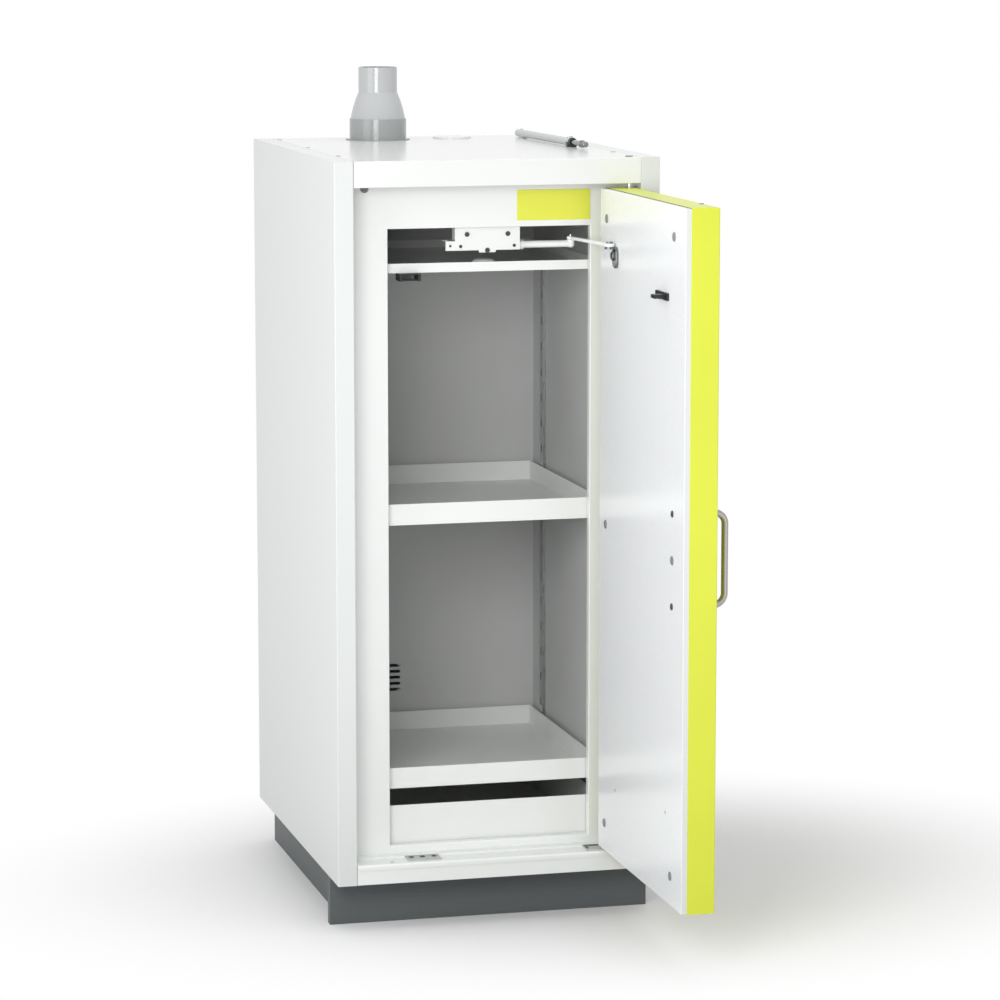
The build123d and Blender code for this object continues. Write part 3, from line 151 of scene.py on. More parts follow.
paper = bpy.data.materials.new("floor_paper")
paper.use_nodes = True
paper_nodes = paper.node_tree.nodes
paper_links = paper.node_tree.links
paper_place = paper_nodes.new("ShaderNodeTexCoord")
paper_shift = paper_nodes.new("ShaderNodeMapping")
paper_shift.vector_type = "TEXTURE"
paper_shift.inputs["Location"].default_value = SHADOW_MIDDLE
paper_shift.inputs["Scale"].default_value = SHADOW_SPAN
paper_links.new(paper_place.outputs["Object"], paper_shift.inputs["Vector"])
paper_reach = paper_nodes.new("ShaderNodeVectorMath")
paper_reach.operation = "LENGTH"
paper_links.new(paper_shift.outputs["Vector"], paper_reach.inputs[0])


def fade_out(start, end):
    """0 inside the start distance, 1 beyond the end distance, smooth between."""
    fade = paper_nodes.new("ShaderNodeMapRange")
    fade.interpolation_type = "SMOOTHSTEP"
    fade.inputs["From Min"].default_value = start
    fade.inputs["From Max"].default_value = end
    paper_links.new(paper_reach.outputs["Value"], fade.inputs["Value"])
    return fade.outputs[0]


def mix_shaders(factor, first, second):
    """The first shader where the factor is 0, the second where it is 1."""
    mix = paper_nodes.new("ShaderNodeMixShader")
    paper_links.new(factor, mix.inputs["Fac"])
    paper_links.new(first, mix.inputs[1])
    paper_links.new(second, mix.inputs[2])
    return mix.outputs[0]


print("the shadow's middle is at", SHADOW_MIDDLE)

# %% Paper of the floor
SHADOW_REACH = (0.35, 1.0)
BOUNCE_REACH = (0.5, 2.2)
SEEN_PAPER = (0.82, 0.82, 0.82, 1)
NEAR_PAPER = (0.38, 0.38, 0.38)
FAR_PAPER = (0.9, 0.9, 0.9)

seen_paper = paper_nodes.new("ShaderNodeBsdfDiffuse")
seen_paper.inputs["Color"].default_value = SEEN_PAPER
plain_white = paper_nodes.new("ShaderNodeEmission")
bounce_paper = paper_nodes.new("ShaderNodeBsdfDiffuse")
bounce_tone = paper_nodes.new("ShaderNodeValToRGB")
bounce_tone.color_ramp.elements[0].color = (*NEAR_PAPER, 1)
bounce_tone.color_ramp.elements[1].color = (*FAR_PAPER, 1)
paper_links.new(fade_out(*BOUNCE_REACH), bounce_tone.inputs["Fac"])
paper_links.new(bounce_tone.outputs["Color"], bounce_paper.inputs["Color"])
shown = mix_shaders(fade_out(*SHADOW_REACH), seen_paper.outputs[0], plain_white.outputs[0])
whole = mix_shaders(seen_ray(paper_nodes, paper_links), bounce_paper.outputs[0], shown)
paper_links.new(whole, paper_nodes["Material Output"].inputs["Surface"])
paper_nodes.remove(paper_nodes["Principled BSDF"])
floor.data.materials.append(paper)
print("the paper fades to white between", SHADOW_REACH, "spans")

# %% [markdown]
# Four area lamps light the cabinet, because a small lamp would throw hard shadows that the
# picture doesn't have. The front lamp makes the front edges brighter than the left side. A broad
# one, far to the left, lights the side board and the inside of the door, one above lights the
# roof, and a weak one at the right keeps the outside of the door from going dark. Their levels
# add to the sky light so that white paint stays just short of pure white.

# %% Lamps
AIM = Vector((0.05, -0.35, 0.85))
# place in metres, side of the square lamp in metres, power in watts
LAMPS = {
    "front_lamp": ((-1.15, -2.55, 1.5), 1.0, 31.5),
    "left_lamp": ((-4.0, -2.2, 1.3), 2.5, 39),
    "roof_lamp": ((0.2, -0.3, 3.6), 2.5, 28),
    "fill_lamp": ((1.5, -3.2, 0.6), 1.2, 4),
}


def soft_lamp(name, place, size, power):
    """A square soft lamp that looks at the middle of the cabinet."""
    bpy.ops.object.select_all(action="DESELECT")
    turn = (AIM - Vector(place)).to_track_quat("-Z", "Y").to_euler()
    bpy.ops.object.light_add(type="AREA", location=place, rotation=turn)
    lamp = bpy.context.object
    lamp.name = name
    lamp.data.size = size
    lamp.data.energy = power


for lamp_name, settings in LAMPS.items():
    soft_lamp(lamp_name, *settings)
    print(lamp_name, "of", settings[2], "W")

# %% [markdown]
# ## Finishes
# The cabinet is mostly white, but not one white: the side boards are faced with melamine, the
# roof, sill and frame are powder coated sheet, the door's inside is a smooth laminate. A sprayed
# coat has a fine orange peel, a laminate a faint pearl. One helper makes both: fine noise for the
# bumps and the gloss, broad noise for a slow drift of the colour. The noise reads Object
# coordinates, so a bump is the same size in millimetres on every piece.


# %% Colour, empty finish and noise
def srgb(red, green, blue):
    """A colour as a screen shows it, 0 to 255, turned into the linear numbers of a shader."""
    levels = (value / 255 for value in (red, green, blue))
    return tuple(
        v / 12.92 if v <= 0.04045 else ((v + 0.055) / 1.055) ** 2.4 for v in levels
    )


def new_finish(name):
    """An empty node material: itself, its nodes, its links, its shader, its coordinates."""
    finish = bpy.data.materials.new(name)
    finish.use_nodes = True
    nodes = finish.node_tree.nodes
    place = nodes.new("ShaderNodeTexCoord").outputs["Object"]
    return finish, nodes, finish.node_tree.links, nodes["Principled BSDF"], place


def grain(nodes, links, place, per_metre, detail=3.0, stretch=None):
    """Noise with so many spots in a metre, drawn out along an axis where stretch says so."""
    if stretch:
        mapping = nodes.new("ShaderNodeMapping")
        mapping.inputs["Scale"].default_value = stretch
        links.new(place, mapping.inputs["Vector"])
        place = mapping.outputs["Vector"]
    noise = nodes.new("ShaderNodeTexNoise")
    noise.inputs["Scale"].default_value = per_metre
    noise.inputs["Detail"].default_value = detail
    links.new(place, noise.inputs["Vector"])
    return noise.outputs[0]


print("noise for finishes is ready")

# %% [markdown]
# A pattern is only a number at each place. It can be read as a colour between two shades, as a
# gloss, or as the height of a bump. Each reading is a helper of its own, so that a finish can
# use one pattern for several of them.


# %% Readings of a pattern
def two_tone(nodes, links, pattern, dark, light, low=0.35, high=0.65):
    """The pattern read as a colour between two shades."""
    ramp = nodes.new("ShaderNodeValToRGB")
    ramp.color_ramp.elements[0].position = low
    ramp.color_ramp.elements[1].position = high
    ramp.color_ramp.elements[0].color = (*dark, 1)
    ramp.color_ramp.elements[1].color = (*light, 1)
    links.new(pattern, ramp.inputs["Fac"])
    return ramp.outputs["Color"]


NOISE_LOW = 0.3
NOISE_HIGH = 0.7


def spread(nodes, links, pattern, low, high):
    """The pattern read as a number between low and high: most noise lies in that range."""
    span = nodes.new("ShaderNodeMapRange")
    span.inputs["From Min"].default_value = NOISE_LOW
    span.inputs["From Max"].default_value = NOISE_HIGH
    span.inputs["To Min"].default_value = low
    span.inputs["To Max"].default_value = high
    links.new(pattern, span.inputs["Value"])
    return span.outputs[0]


def raise_bumps(nodes, links, shader, pattern, height):
    """The pattern read as bumps of that height in metres."""
    bump = nodes.new("ShaderNodeBump")
    bump.inputs["Strength"].default_value = 1.0
    bump.inputs["Distance"].default_value = height
    links.new(pattern, bump.inputs["Height"])
    links.new(bump.outputs["Normal"], shader.inputs["Normal"])


def shade(colour, factor):
    """The colour made darker or lighter."""
    return tuple(min(1.0, channel * factor) for channel in colour)


print("a pattern can be read as colour, gloss and bumps")

# %% [markdown]
# Most finishes are a coat: paint, laminate, plastic or rubber. They differ in colour, gloss and
# in how fine and how high their peel is, so one function makes them all.


# %% One coat
def coated(name, colour, gloss, peel, height, drift=0.02, metal=0.0, patches=5.0):
    """A coat: its colour drifts over broad patches, its gloss and bumps follow a fine peel."""
    finish, nodes, links, shader, place = new_finish(name)
    broad = grain(nodes, links, place, patches, detail=2.0)
    fine = grain(nodes, links, place, peel)
    tone = two_tone(nodes, links, broad, shade(colour, 1 - drift), shade(colour, 1 + drift))
    links.new(tone, shader.inputs["Base Color"])
    links.new(spread(nodes, links, fine, *gloss), shader.inputs["Roughness"])
    raise_bumps(nodes, links, shader, fine, height)
    shader.inputs["Metallic"].default_value = metal
    return finish


print("coats can be made")

# %% [markdown]
# The powder coats, laminates and plastics come first. A table keeps them side by side, so that
# one white can be weighed against the next. Colours were judged from the lit parts of the
# picture and set a little lower where a lamp makes the surface brighter than it is.

# %% Coats and laminates
MICRON = 0.000001
# material, colour, gloss from and to, spots of the peel in a metre, bumps in microns, drift
COATS = {
    "white_sheet": ("powder_white", (229, 231, 229), (0.16, 0.24), 700, 12, 0.01),
    "roof_sheet": ("powder_roof", (221, 223, 221), (0.16, 0.24), 700, 12, 0.01),
    "shelf_sheet": ("powder_shelf", (227, 229, 226), (0.3, 0.42), 800, 15, 0.012),
    "lime_pan": ("powder_lime", (208, 216, 58), (0.26, 0.38), 750, 14, 0.015),
    "plate_film": ("film_plate", (219, 222, 72), (0.3, 0.42), 1500, 6, 0.01),
    "liner_white": ("laminate_liner", (192, 193, 192), (0.4, 0.55), 1200, 10, 0.02),
    "fitting_white": ("paint_fittings", (235, 237, 235), (0.28, 0.4), 1300, 12, 0.015),
    "pipe_grey": ("plastic_reducer", (182, 184, 185), (0.11, 0.16), 500, 1, 0.015),
    "collar_grey": ("plastic_collar", (157, 160, 160), (0.12, 0.17), 500, 1, 0.015),
    "closer_grey": ("paint_closer", (190, 193, 193), (0.25, 0.35), 1200, 10, 0.015),
    "cap_grey": ("plastic_caps", (128, 130, 132), (0.4, 0.55), 2500, 10, 0.03),
    "black_plastic": ("plastic_black", (26, 26, 28), (0.35, 0.5), 2600, 20, 0.1),
    "dark_metal": ("paint_dark", (62, 64, 66), (0.3, 0.45), 1800, 15, 0.06),
    "foot_black": ("rubber_foot", (34, 34, 34), (0.7, 0.85), 1500, 60, 0.12),
    "buffer_rubber": ("rubber_buffer", (120, 120, 118), (0.6, 0.8), 2200, 40, 0.08),
    "strip_grey": ("strip_swelling", (150, 152, 152), (0.6, 0.75), 1800, 40, 0.05),
}

finishes = {}
for coat_name, (material_name, colour, gloss, peel, bumps, drift) in COATS.items():
    finishes[coat_name] = coated(
        material_name, srgb(*colour), gloss, peel, bumps * MICRON, drift
    )
print("coats and laminates:", len(finishes))

# %% [markdown]
# Metals need another recipe. Zinc shows frost flowers, which Voronoi cells give. Plated and
# drawn steel has fine lines along one way, made by noise that is drawn out along an axis.
# The handle is satin chrome: a metal coat whose gloss is a little rough, with faint smears.


# %% Metals
def drawn_metal(name, colour, gloss, stretch, height):
    """Metal with fine drawn lines: long along the axis whose stretch is small."""
    finish, nodes, links, shader, place = new_finish(name)
    lines = grain(nodes, links, place, 60, detail=4.0, stretch=stretch)
    tone = two_tone(nodes, links, lines, shade(colour, 0.9), shade(colour, 1.06))
    links.new(tone, shader.inputs["Base Color"])
    links.new(spread(nodes, links, lines, *gloss), shader.inputs["Roughness"])
    raise_bumps(nodes, links, shader, lines, height)
    shader.inputs["Metallic"].default_value = 1.0
    return finish


def frosted_zinc(name, colour):
    """Galvanised sheet: flat frost flowers, each with its own grey and gloss."""
    finish, nodes, links, shader, place = new_finish(name)
    flowers = nodes.new("ShaderNodeTexVoronoi")
    flowers.inputs["Scale"].default_value = 90
    links.new(place, flowers.inputs["Vector"])
    grey = nodes.new("ShaderNodeRGBToBW")
    links.new(flowers.outputs["Color"], grey.inputs[0])
    tone = two_tone(nodes, links, grey.outputs[0], shade(colour, 0.8), shade(colour, 1.12))
    links.new(tone, shader.inputs["Base Color"])
    links.new(spread(nodes, links, grey.outputs[0], 0.3, 0.5), shader.inputs["Roughness"])
    shader.inputs["Metallic"].default_value = 0.9
    return finish


print("metals can be made")

# %% The metals of the cabinet
finishes["steel"] = drawn_metal(
    "steel_plated", srgb(178, 180, 182), (0.25, 0.4), (12, 12, 1), 6 * MICRON
)
finishes["chrome"] = coated(
    "chrome_polished", srgb(166, 161, 157), (0.2, 0.28), 300, MICRON, 0.02, metal=1.0
)
finishes["pale_zinc"] = coated(
    "zinc_pale", srgb(184, 186, 185), (0.3, 0.45), 900, 8 * MICRON, 0.03, metal=0.4
)
finishes["rod_steel"] = drawn_metal(
    "steel_rod", srgb(146, 148, 151), (0.12, 0.22), (12, 1, 12), 2 * MICRON
)
finishes["shoe_metal"] = coated(
    "metal_shoe", srgb(112, 114, 116), (0.16, 0.26), 900, 10 * MICRON, 0.08, metal=0.85
)
finishes["duct_zinc"] = frosted_zinc("zinc_duct", srgb(184, 186, 188))
print("metals ready, finishes in all:", len(finishes))

# %% [markdown]
# Some parts carry two tones. The side boards and the door's inner panel are faced with a white
# laminate, and their front edge is painted a shade darker: painted shade, because the lamps light
# that edge more than the face and throw a highlight on the door's rounded edge. The clamps of the
# roof closer are painted like its cylinder, only the foot in front is dark. Both tones sit in one
# material: a number that is 1 where the second tone lies chooses between them. It is read from
# the place on the piece, so no mesh has to be cut for it.


# %% Finishes of two tones
def compare(nodes, links, value, limit):
    """A number that is 1 where the value lies below the limit and 0 elsewhere."""
    test = nodes.new("ShaderNodeMath")
    test.operation = "LESS_THAN"
    links.new(value, test.inputs[0])
    test.inputs[1].default_value = limit
    return test.outputs[0]


def axes_of(nodes, links, vector):
    """The three numbers of a vector."""
    split = nodes.new("ShaderNodeSeparateXYZ")
    links.new(vector, split.inputs[0])
    return split.outputs


def two_parts(name, first, second, gloss, peel, height, chosen):
    """A coat of two tones: the second one where the chosen number is 1."""
    finish, nodes, links, shader, place = new_finish(name)
    fine = grain(nodes, links, place, peel)
    tone = two_tone(nodes, links, chosen(nodes, links, place), first, second)
    links.new(tone, shader.inputs["Base Color"])
    links.new(spread(nodes, links, fine, *gloss), shader.inputs["Roughness"])
    raise_bumps(nodes, links, shader, fine, height)
    return finish


print("finishes of two tones can be made")

# %% [markdown]
# Three tests say where the second tone lies. They compare the place with a limit in metres, just
# behind the front edge of the board or of the door's panel, and round the foot of the clamp.

# %% Edges and foot
BOARD_FRONT = -0.3748
DOOR_FREE_EDGE = -0.8708
FOOT_BACK = 0.1
FOOT_TOP = 1.4095


def board_shaded_edge(nodes, links, place):
    """1 on the front edge of a side board, where the painted shade goes."""
    return compare(nodes, links, axes_of(nodes, links, place)[1], BOARD_FRONT)


def door_shaded_edge(nodes, links, place):
    """1 on the free edge of the door's inner panel, where the painted shade goes."""
    return compare(nodes, links, axes_of(nodes, links, place)[1], DOOR_FREE_EDGE)


def front_foot(nodes, links, place):
    """1 on the low half of the front clamp."""
    axes = axes_of(nodes, links, place)
    both = nodes.new("ShaderNodeMath")
    both.operation = "MULTIPLY"
    links.new(compare(nodes, links, axes[1], FOOT_BACK), both.inputs[0])
    links.new(compare(nodes, links, axes[2], FOOT_TOP), both.inputs[1])
    return both.outputs[0]


print("limits of the second tone:", BOARD_FRONT, DOOR_FREE_EDGE, FOOT_BACK, FOOT_TOP)

# %% Boards, door panel and clamps
# The edge colours are painted shade: darker copies of each white for the edges that the lamps
# light most.
BOARD_WHITE = srgb(223, 226, 224)
BOARD_EDGE_SHADE = shade(BOARD_WHITE, 0.87)
DOOR_WHITE = srgb(236, 238, 239)
DOOR_EDGE_SHADE = shade(DOOR_WHITE, 0.78)
CLAMP_GREY = srgb(190, 193, 193)
CLAMP_DARK = srgb(62, 64, 66)
finishes["white_board"] = two_parts(
    "melamine_white", BOARD_WHITE, BOARD_EDGE_SHADE, (0.32, 0.44), 1400, 10 * MICRON, board_shaded_edge
)
finishes["door_white"] = two_parts(
    "laminate_door", DOOR_WHITE, DOOR_EDGE_SHADE, (0.22, 0.3), 1600, 6 * MICRON, door_shaded_edge
)
finishes["clamp_paint"] = two_parts(
    "paint_clamps", CLAMP_GREY, CLAMP_DARK, (0.28, 0.4), 1500, 10 * MICRON, front_foot
)
print("finishes of two tones ready, finishes in all:", len(finishes))

# %% [markdown]
# Two boards are left. The plinth is chipboard with a dark grey facing whose faint streaks run
# along the board. The insulation is raw mineral board, pale and speckled, and is seen only
# where the cabinet is taken apart.


# %% Boards
def streaked_board(name, colour):
    """A board facing with faint streaks that run level along the board."""
    finish, nodes, links, shader, place = new_finish(name)
    streaks = grain(nodes, links, place, 40, detail=5.0, stretch=(0.6, 0.6, 14))
    pores = grain(nodes, links, place, 1500)
    tone = two_tone(nodes, links, streaks, shade(colour, 0.965), shade(colour, 1.03))
    links.new(tone, shader.inputs["Base Color"])
    links.new(spread(nodes, links, pores, 0.42, 0.56), shader.inputs["Roughness"])
    raise_bumps(nodes, links, shader, pores, 20 * MICRON)
    return finish


def speckled_board(name, colour):
    """Raw mineral board: coarse speckles and a rough skin."""
    finish, nodes, links, shader, place = new_finish(name)
    speckle = grain(nodes, links, place, 420, detail=6.0)
    tone = two_tone(nodes, links, speckle, shade(colour, 0.78), shade(colour, 1.08))
    links.new(tone, shader.inputs["Base Color"])
    links.new(spread(nodes, links, speckle, 0.8, 0.95), shader.inputs["Roughness"])
    raise_bumps(nodes, links, shader, speckle, 200 * MICRON)
    return finish


finishes["plinth_grey"] = streaked_board("board_plinth", srgb(84, 89, 90))
finishes["insulation"] = speckled_board("board_mineral", srgb(204, 202, 196))
print("finishes in all:", len(finishes))

# %% [markdown]
# ## Finishes on the CAD nodes
# The list below says which finish each node of the model gets. A node keeps its mesh, and only
# its material slot is filled anew.

# %% Paint the CAD nodes
finish_nodes = {
    "white_board": ["side_panel_left", "side_panel_right"],
    "roof_sheet": ["roof_cover", "inlet_cap"],
    "white_sheet": [
        "sill", "door_frame", "back_panel", "base_panel", "liner_top", "plenum_panel",
    ],
    "shelf_sheet": ["middle_shelf", "lower_shelf", "spill_sump", "stay_bracket"],
    "lime_pan": ["door_pan"],
    "door_white": ["door_inner_panel"],
    "liner_white": ["liner_left", "liner_right", "liner_floor", "liner_back"],
    "insulation": [
        "insulation_left", "insulation_right", "insulation_top", "insulation_bottom",
        "insulation_back", "door_core",
    ],
    "plinth_grey": [
        "plinth_front", "plinth_side_left", "plinth_side_right", "plinth_rear", "plinth_cross",
    ],
    "foot_black": ["levelling_feet"],
    "pipe_grey": ["exhaust_reducer"],
    "collar_grey": ["exhaust_collar"],
    "closer_grey": ["closer_cylinder"],
    "duct_zinc": ["exhaust_duct", "supply_duct"],
    "fitting_white": ["stay_closer_body", "stay_arm", "stay_link"],
    "steel": [
        "shelf_uprights", "shelf_clips", "upper_pivot", "pivot_bushes", "elbow_pin",
    ],
    "pale_zinc": ["lower_pivot", "sill_strike"],
    "rod_steel": ["closer_rod"],
    "chrome": ["door_handle"],
    "dark_metal": ["stay_screws", "handle_bolts", "roof_screws"],
    "shoe_metal": ["stay_shoe"],
    "clamp_paint": ["closer_clamps"],
    "black_plastic": ["door_catch", "catch_keeper", "keeper_roller"],
    "cap_grey": ["door_caps"],
    "strip_grey": ["intumescent_strips"],
    "buffer_rubber": ["door_buffer"],
}


def paint(piece, finish):
    """Give a piece one finish all over."""
    if not piece.material_slots:
        piece.data.materials.append(finish)
    for material_slot in piece.material_slots:
        material_slot.material = finish


painted = set()
for finish_name, node_names in finish_nodes.items():
    for node_name in node_names:
        paint(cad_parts[node_name], finishes[finish_name])
        painted.add(node_name)
print("painted nodes:", len(painted), "left bare:", sorted(set(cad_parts) - painted))

# %% [markdown]
# ## Small parts
# The parts below are too small or too fine for the drawing. Each one starts as a primitive and is
# shaped in edit mode. An operator acts on all that is selected, so everything is deselected first,
# and faces and edges are then picked in code by where they lie or which way they look.


# %% A block and the picking of its faces and edges
def block(name, low, high):
    """A box between two corners given in millimetres, with its place in its mesh."""
    bpy.ops.object.select_all(action="DESELECT")
    low, high = Vector(low) * MM, Vector(high) * MM
    bpy.ops.mesh.primitive_cube_add(size=1, location=(low + high) / 2)
    piece = bpy.context.object
    piece.name = name
    piece.scale = high - low
    bpy.ops.object.transform_apply(location=True, rotation=True, scale=True)
    return piece


def pick_faces(piece, wanted):
    """Go to edit mode with the faces selected whose centre and normal pass the test."""
    bpy.ops.object.mode_set(mode="EDIT")
    bpy.ops.mesh.select_mode(type="FACE")
    bpy.ops.mesh.select_all(action="DESELECT")
    bpy.ops.object.mode_set(mode="OBJECT")
    for face in piece.data.polygons:
        face.select = wanted(face.center / MM, face.normal)
    bpy.ops.object.mode_set(mode="EDIT")


def pick_edges(piece, wanted):
    """Go to edit mode with the edges selected whose middle and direction pass the test."""
    bpy.ops.object.mode_set(mode="EDIT")
    bpy.ops.mesh.select_mode(type="EDGE")
    bpy.ops.mesh.select_all(action="DESELECT")
    bpy.ops.object.mode_set(mode="OBJECT")
    points = piece.data.vertices
    for edge in piece.data.edges:
        start, end = (points[index].co for index in edge.vertices)
        edge.select = wanted((start + end) / 2 / MM, (end - start).normalized())
    bpy.ops.object.mode_set(mode="EDIT")


print("blocks can be made and picked")

# %% [markdown]
# A shaped mesh is closed in the same way each time: doubles are merged and all faces are turned
# outwards. A finished piece is smoothed where its faces meet at a blunt angle, painted, and told
# which body of the cabinet it moves with.

# %% Closing and dressing a piece
MERGE_DISTANCE = 0.000002
SMOOTH_ANGLE = math.radians(40)


def close_mesh():
    """Merge doubles, turn all faces outwards and leave edit mode."""
    bpy.ops.mesh.select_all(action="SELECT")
    bpy.ops.mesh.remove_doubles(threshold=MERGE_DISTANCE)
    bpy.ops.mesh.normals_make_consistent(inside=False)
    bpy.ops.object.mode_set(mode="OBJECT")


def dress(piece, finish_name, body, slot, *replaced):
    """Smooth the round faces, paint the piece, and let it ride on its body."""
    bpy.ops.object.select_all(action="DESELECT")
    piece.select_set(True)
    bpy.context.view_layer.objects.active = piece
    bpy.ops.object.shade_smooth_by_angle(angle=SMOOTH_ANGLE)
    paint(piece, finishes[finish_name])
    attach(piece, body)
    if replaced:
        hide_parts(*replaced)
    print(piece.name, "has", len(piece.data.polygons), "faces and rides on", body)


print("pieces can be closed and dressed")

# %% [markdown]
# ### Plate over the door opening
# On the top rail sits a thin yellow-green plate, left blank here. A flat quad would do from afar,
# but a plate has round corners and a soft edge that catches the light: the four corner edges are
# bevelled first, then an inset lifts the face a little and slopes its rim.

# %% Blank plate
PLATE_LOW = (51, -309.7, 1285)
PLATE_HIGH = (188, -309.0, 1340.5)
PLATE_CORNER = 1.2
PLATE_SLOPE = 0.15
PLATE_RISE = 0.2

plate = block("blank_plate", PLATE_LOW, PLATE_HIGH)
pick_edges(plate, lambda middle, way: abs(way.y) > 0.9)
bpy.ops.mesh.bevel(offset=PLATE_CORNER * MM, segments=4, affect="EDGES")
pick_faces(plate, lambda middle, normal: normal.y < -0.9)
bpy.ops.mesh.inset(thickness=PLATE_SLOPE * MM, depth=PLATE_RISE * MM)
close_mesh()
dress(plate, "plate_film", "cabinet", "lime_pan")

# %% [markdown]
# ### Screws with a cross recess
# The roof sheet, the bracket of the stay and the fittings are held by pan-head screws. One head is
# modelled: a cylinder, its rim bevelled to a low dome, and two bars cut out of it as the cross.
# It is then copied to every place, each copy with its own mesh, and the copies of a group are
# joined, because they belong to one row of screws.


# %% A round head
def turned_head(name, radius, height, sides=20, rim=0.55):
    """A round head on the origin, axis along Z, its top edge rounded by rim times height."""
    bpy.ops.object.select_all(action="DESELECT")
    bpy.ops.mesh.primitive_cylinder_add(
        vertices=sides, radius=radius * MM, depth=height * MM, location=(0, 0, height * MM / 2)
    )
    head = bpy.context.object
    head.name = name
    bpy.ops.object.transform_apply(location=True, rotation=True, scale=True)
    pick_edges(head, lambda middle, way: middle.z > height * 0.9 and abs(way.z) < 0.1)
    bpy.ops.mesh.bevel(offset=height * rim * MM, segments=3, affect="EDGES")
    bpy.ops.object.mode_set(mode="OBJECT")
    return head


print("round heads can be made")

# %% [markdown]
# A recess is cut by a Boolean modifier with a bar or a six-sided rod as its tool. Insets could
# give the same, but a cut keeps the round top as it is. The tool is thrown away afterwards.


# %% Recesses
def cut_away(piece, tool):
    """Cut a tool out of a piece and throw the tool away."""
    bpy.ops.object.select_all(action="DESELECT")
    piece.select_set(True)
    bpy.context.view_layer.objects.active = piece
    cut = piece.modifiers.new("recess", "BOOLEAN")
    cut.operation = "DIFFERENCE"
    cut.solver = "EXACT"
    cut.object = tool
    bpy.ops.object.modifier_apply(modifier=cut.name)
    bpy.data.objects.remove(tool)


def cross_head(name, radius, height):
    """A pan head with a cross recess."""
    head = turned_head(name, radius, height)
    long, narrow, floor_level = radius * 0.58, radius * 0.15, height * 0.4
    for reach in ((long, narrow), (narrow, long)):
        bar = block(
            "recess_bar",
            (-reach[0], -reach[1], floor_level),
            (reach[0], reach[1], height * 2),
        )
        cut_away(head, bar)
    return head


def socket_head(name, radius, height):
    """A low round head with a six-sided socket."""
    head = turned_head(name, radius, height)
    bpy.ops.object.select_all(action="DESELECT")
    bpy.ops.mesh.primitive_cylinder_add(
        vertices=6, radius=radius * 0.5 * MM, depth=height * 2 * MM,
        location=(0, 0, height * 1.4 * MM),
    )
    cut_away(head, bpy.context.object)
    return head


print("heads with a cross or a socket can be made")

# %% [markdown]
# A head is modelled standing up. To set it out, each copy is turned so that its top looks out of
# the face that it sits on, and the turn and place are then applied to its mesh.

# %% Setting out copies
UP = (0, 0, 0)
TO_FRONT = (math.pi / 2, 0, 0)
TO_LEFT = (0, -math.pi / 2, 0)
TO_RIGHT = (0, math.pi / 2, 0)


def set_out(name, master, turn, places):
    """Copies of the master at the places, in millimetres, joined to one group."""
    group = []
    for place in places:
        copy = master.copy()
        copy.data = master.data.copy()
        bpy.context.scene.collection.objects.link(copy)
        copy.rotation_mode = "XYZ"
        copy.rotation_euler = turn
        copy.location = Vector(place) * MM
        group.append(copy)
    bpy.data.objects.remove(master)
    bpy.ops.object.select_all(action="DESELECT")
    for copy in group:
        copy.select_set(True)
    bpy.context.view_layer.objects.active = group[0]
    bpy.ops.object.transform_apply(location=True, rotation=True, scale=True)
    if len(group) > 1:
        bpy.ops.object.join()
    group[0].name = name
    return group[0]


print("copies can be set out")

# %% [markdown]
# The roof sheet has three screws along each side. The bracket of the stay has three large screws
# and two small ones. The heads stand where the screws of the drawing end, so they take the place
# of its plain pins.

# %% Screws of the roof and of the stay
ROOF_SCREW_X = (-258, 258)
ROOF_SCREW_Y = (-215, 55, 325)

roof_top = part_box("roof_cover")[1].z / MM
roof_heads = set_out(
    "roof_screw_heads", cross_head("roof_head", radius=4, height=1.5), UP,
    [(x, y, roof_top) for x in ROOF_SCREW_X for y in ROOF_SCREW_Y],
)
dress(roof_heads, "pale_zinc", "cabinet", "dark_metal", "roof_screws")

BRACKET_FACE = -293
large_heads = set_out(
    "stay_large_heads", cross_head("stay_head", radius=4.5, height=2), TO_FRONT,
    [(-38, BRACKET_FACE, 1260.5), (38, BRACKET_FACE, 1260.5), (0, BRACKET_FACE, 1231.5)],
)
dress(large_heads, "dark_metal", "cabinet", "dark_metal", "stay_screws")
small_heads = set_out(
    "stay_small_heads", cross_head("stay_small_head", radius=3, height=1.6), TO_FRONT,
    [(-50, BRACKET_FACE, 1239), (50, BRACKET_FACE, 1239)],
)
dress(small_heads, "dark_metal", "cabinet", "dark_metal")

# %% [markdown]
# ### Painted shade in the door's groove
# Between the coated pan and the white inner panel a thin dark strip lies along the top and the
# bottom edge: painted shade of the groove there. A frame all round would draw a dark line down the
# free edge too, which the picture doesn't have, so one strip is made, its outer edges are rounded,
# and it is set out twice.

# %% Door seal
GROOVE_SHADE_WIDTH = 0.7
GROOVE_SHADE_DEPTH = 1.0
GROOVE_SHADE_ROUND = 0.25

panel_low, panel_high = (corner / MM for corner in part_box("door_inner_panel"))
half_length = (panel_high.y - panel_low.y) / 2
# A thin dark strip as painted shade of the groove between the pan and the inner panel.
strip = block(
    "groove_shade_strip",
    (-GROOVE_SHADE_DEPTH, -half_length, 0),
    (0, half_length, GROOVE_SHADE_WIDTH),
)
pick_edges(strip, lambda middle, way: abs(way.y) > 0.9 and middle.x < -0.9 * GROOVE_SHADE_DEPTH)
bpy.ops.mesh.bevel(offset=GROOVE_SHADE_ROUND * MM, segments=3, affect="EDGES")
bpy.ops.object.mode_set(mode="OBJECT")
groove_shade_line = (panel_low.y + panel_high.y) / 2
groove_shade = set_out(
    "door_groove_shade", strip, UP,
    [(panel_high.x, groove_shade_line, level) for level in (panel_high.z, panel_low.z - GROOVE_SHADE_WIDTH)],
)
dress(groove_shade, "foot_black", "door", "strip_grey")

# %% [markdown]
# ### Bolts, plugs and washers of the door
# The bow handle is bolted through the door: socket heads inside, a polished washer under each leg
# outside. Two spare holes of the inner panel are closed by small plugs.

# %% Door hardware
INNER_FACE = 196
OUTER_FACE = 256
HANDLE_LINE = -805
HANDLE_LEGS = (656.5, 817.5)

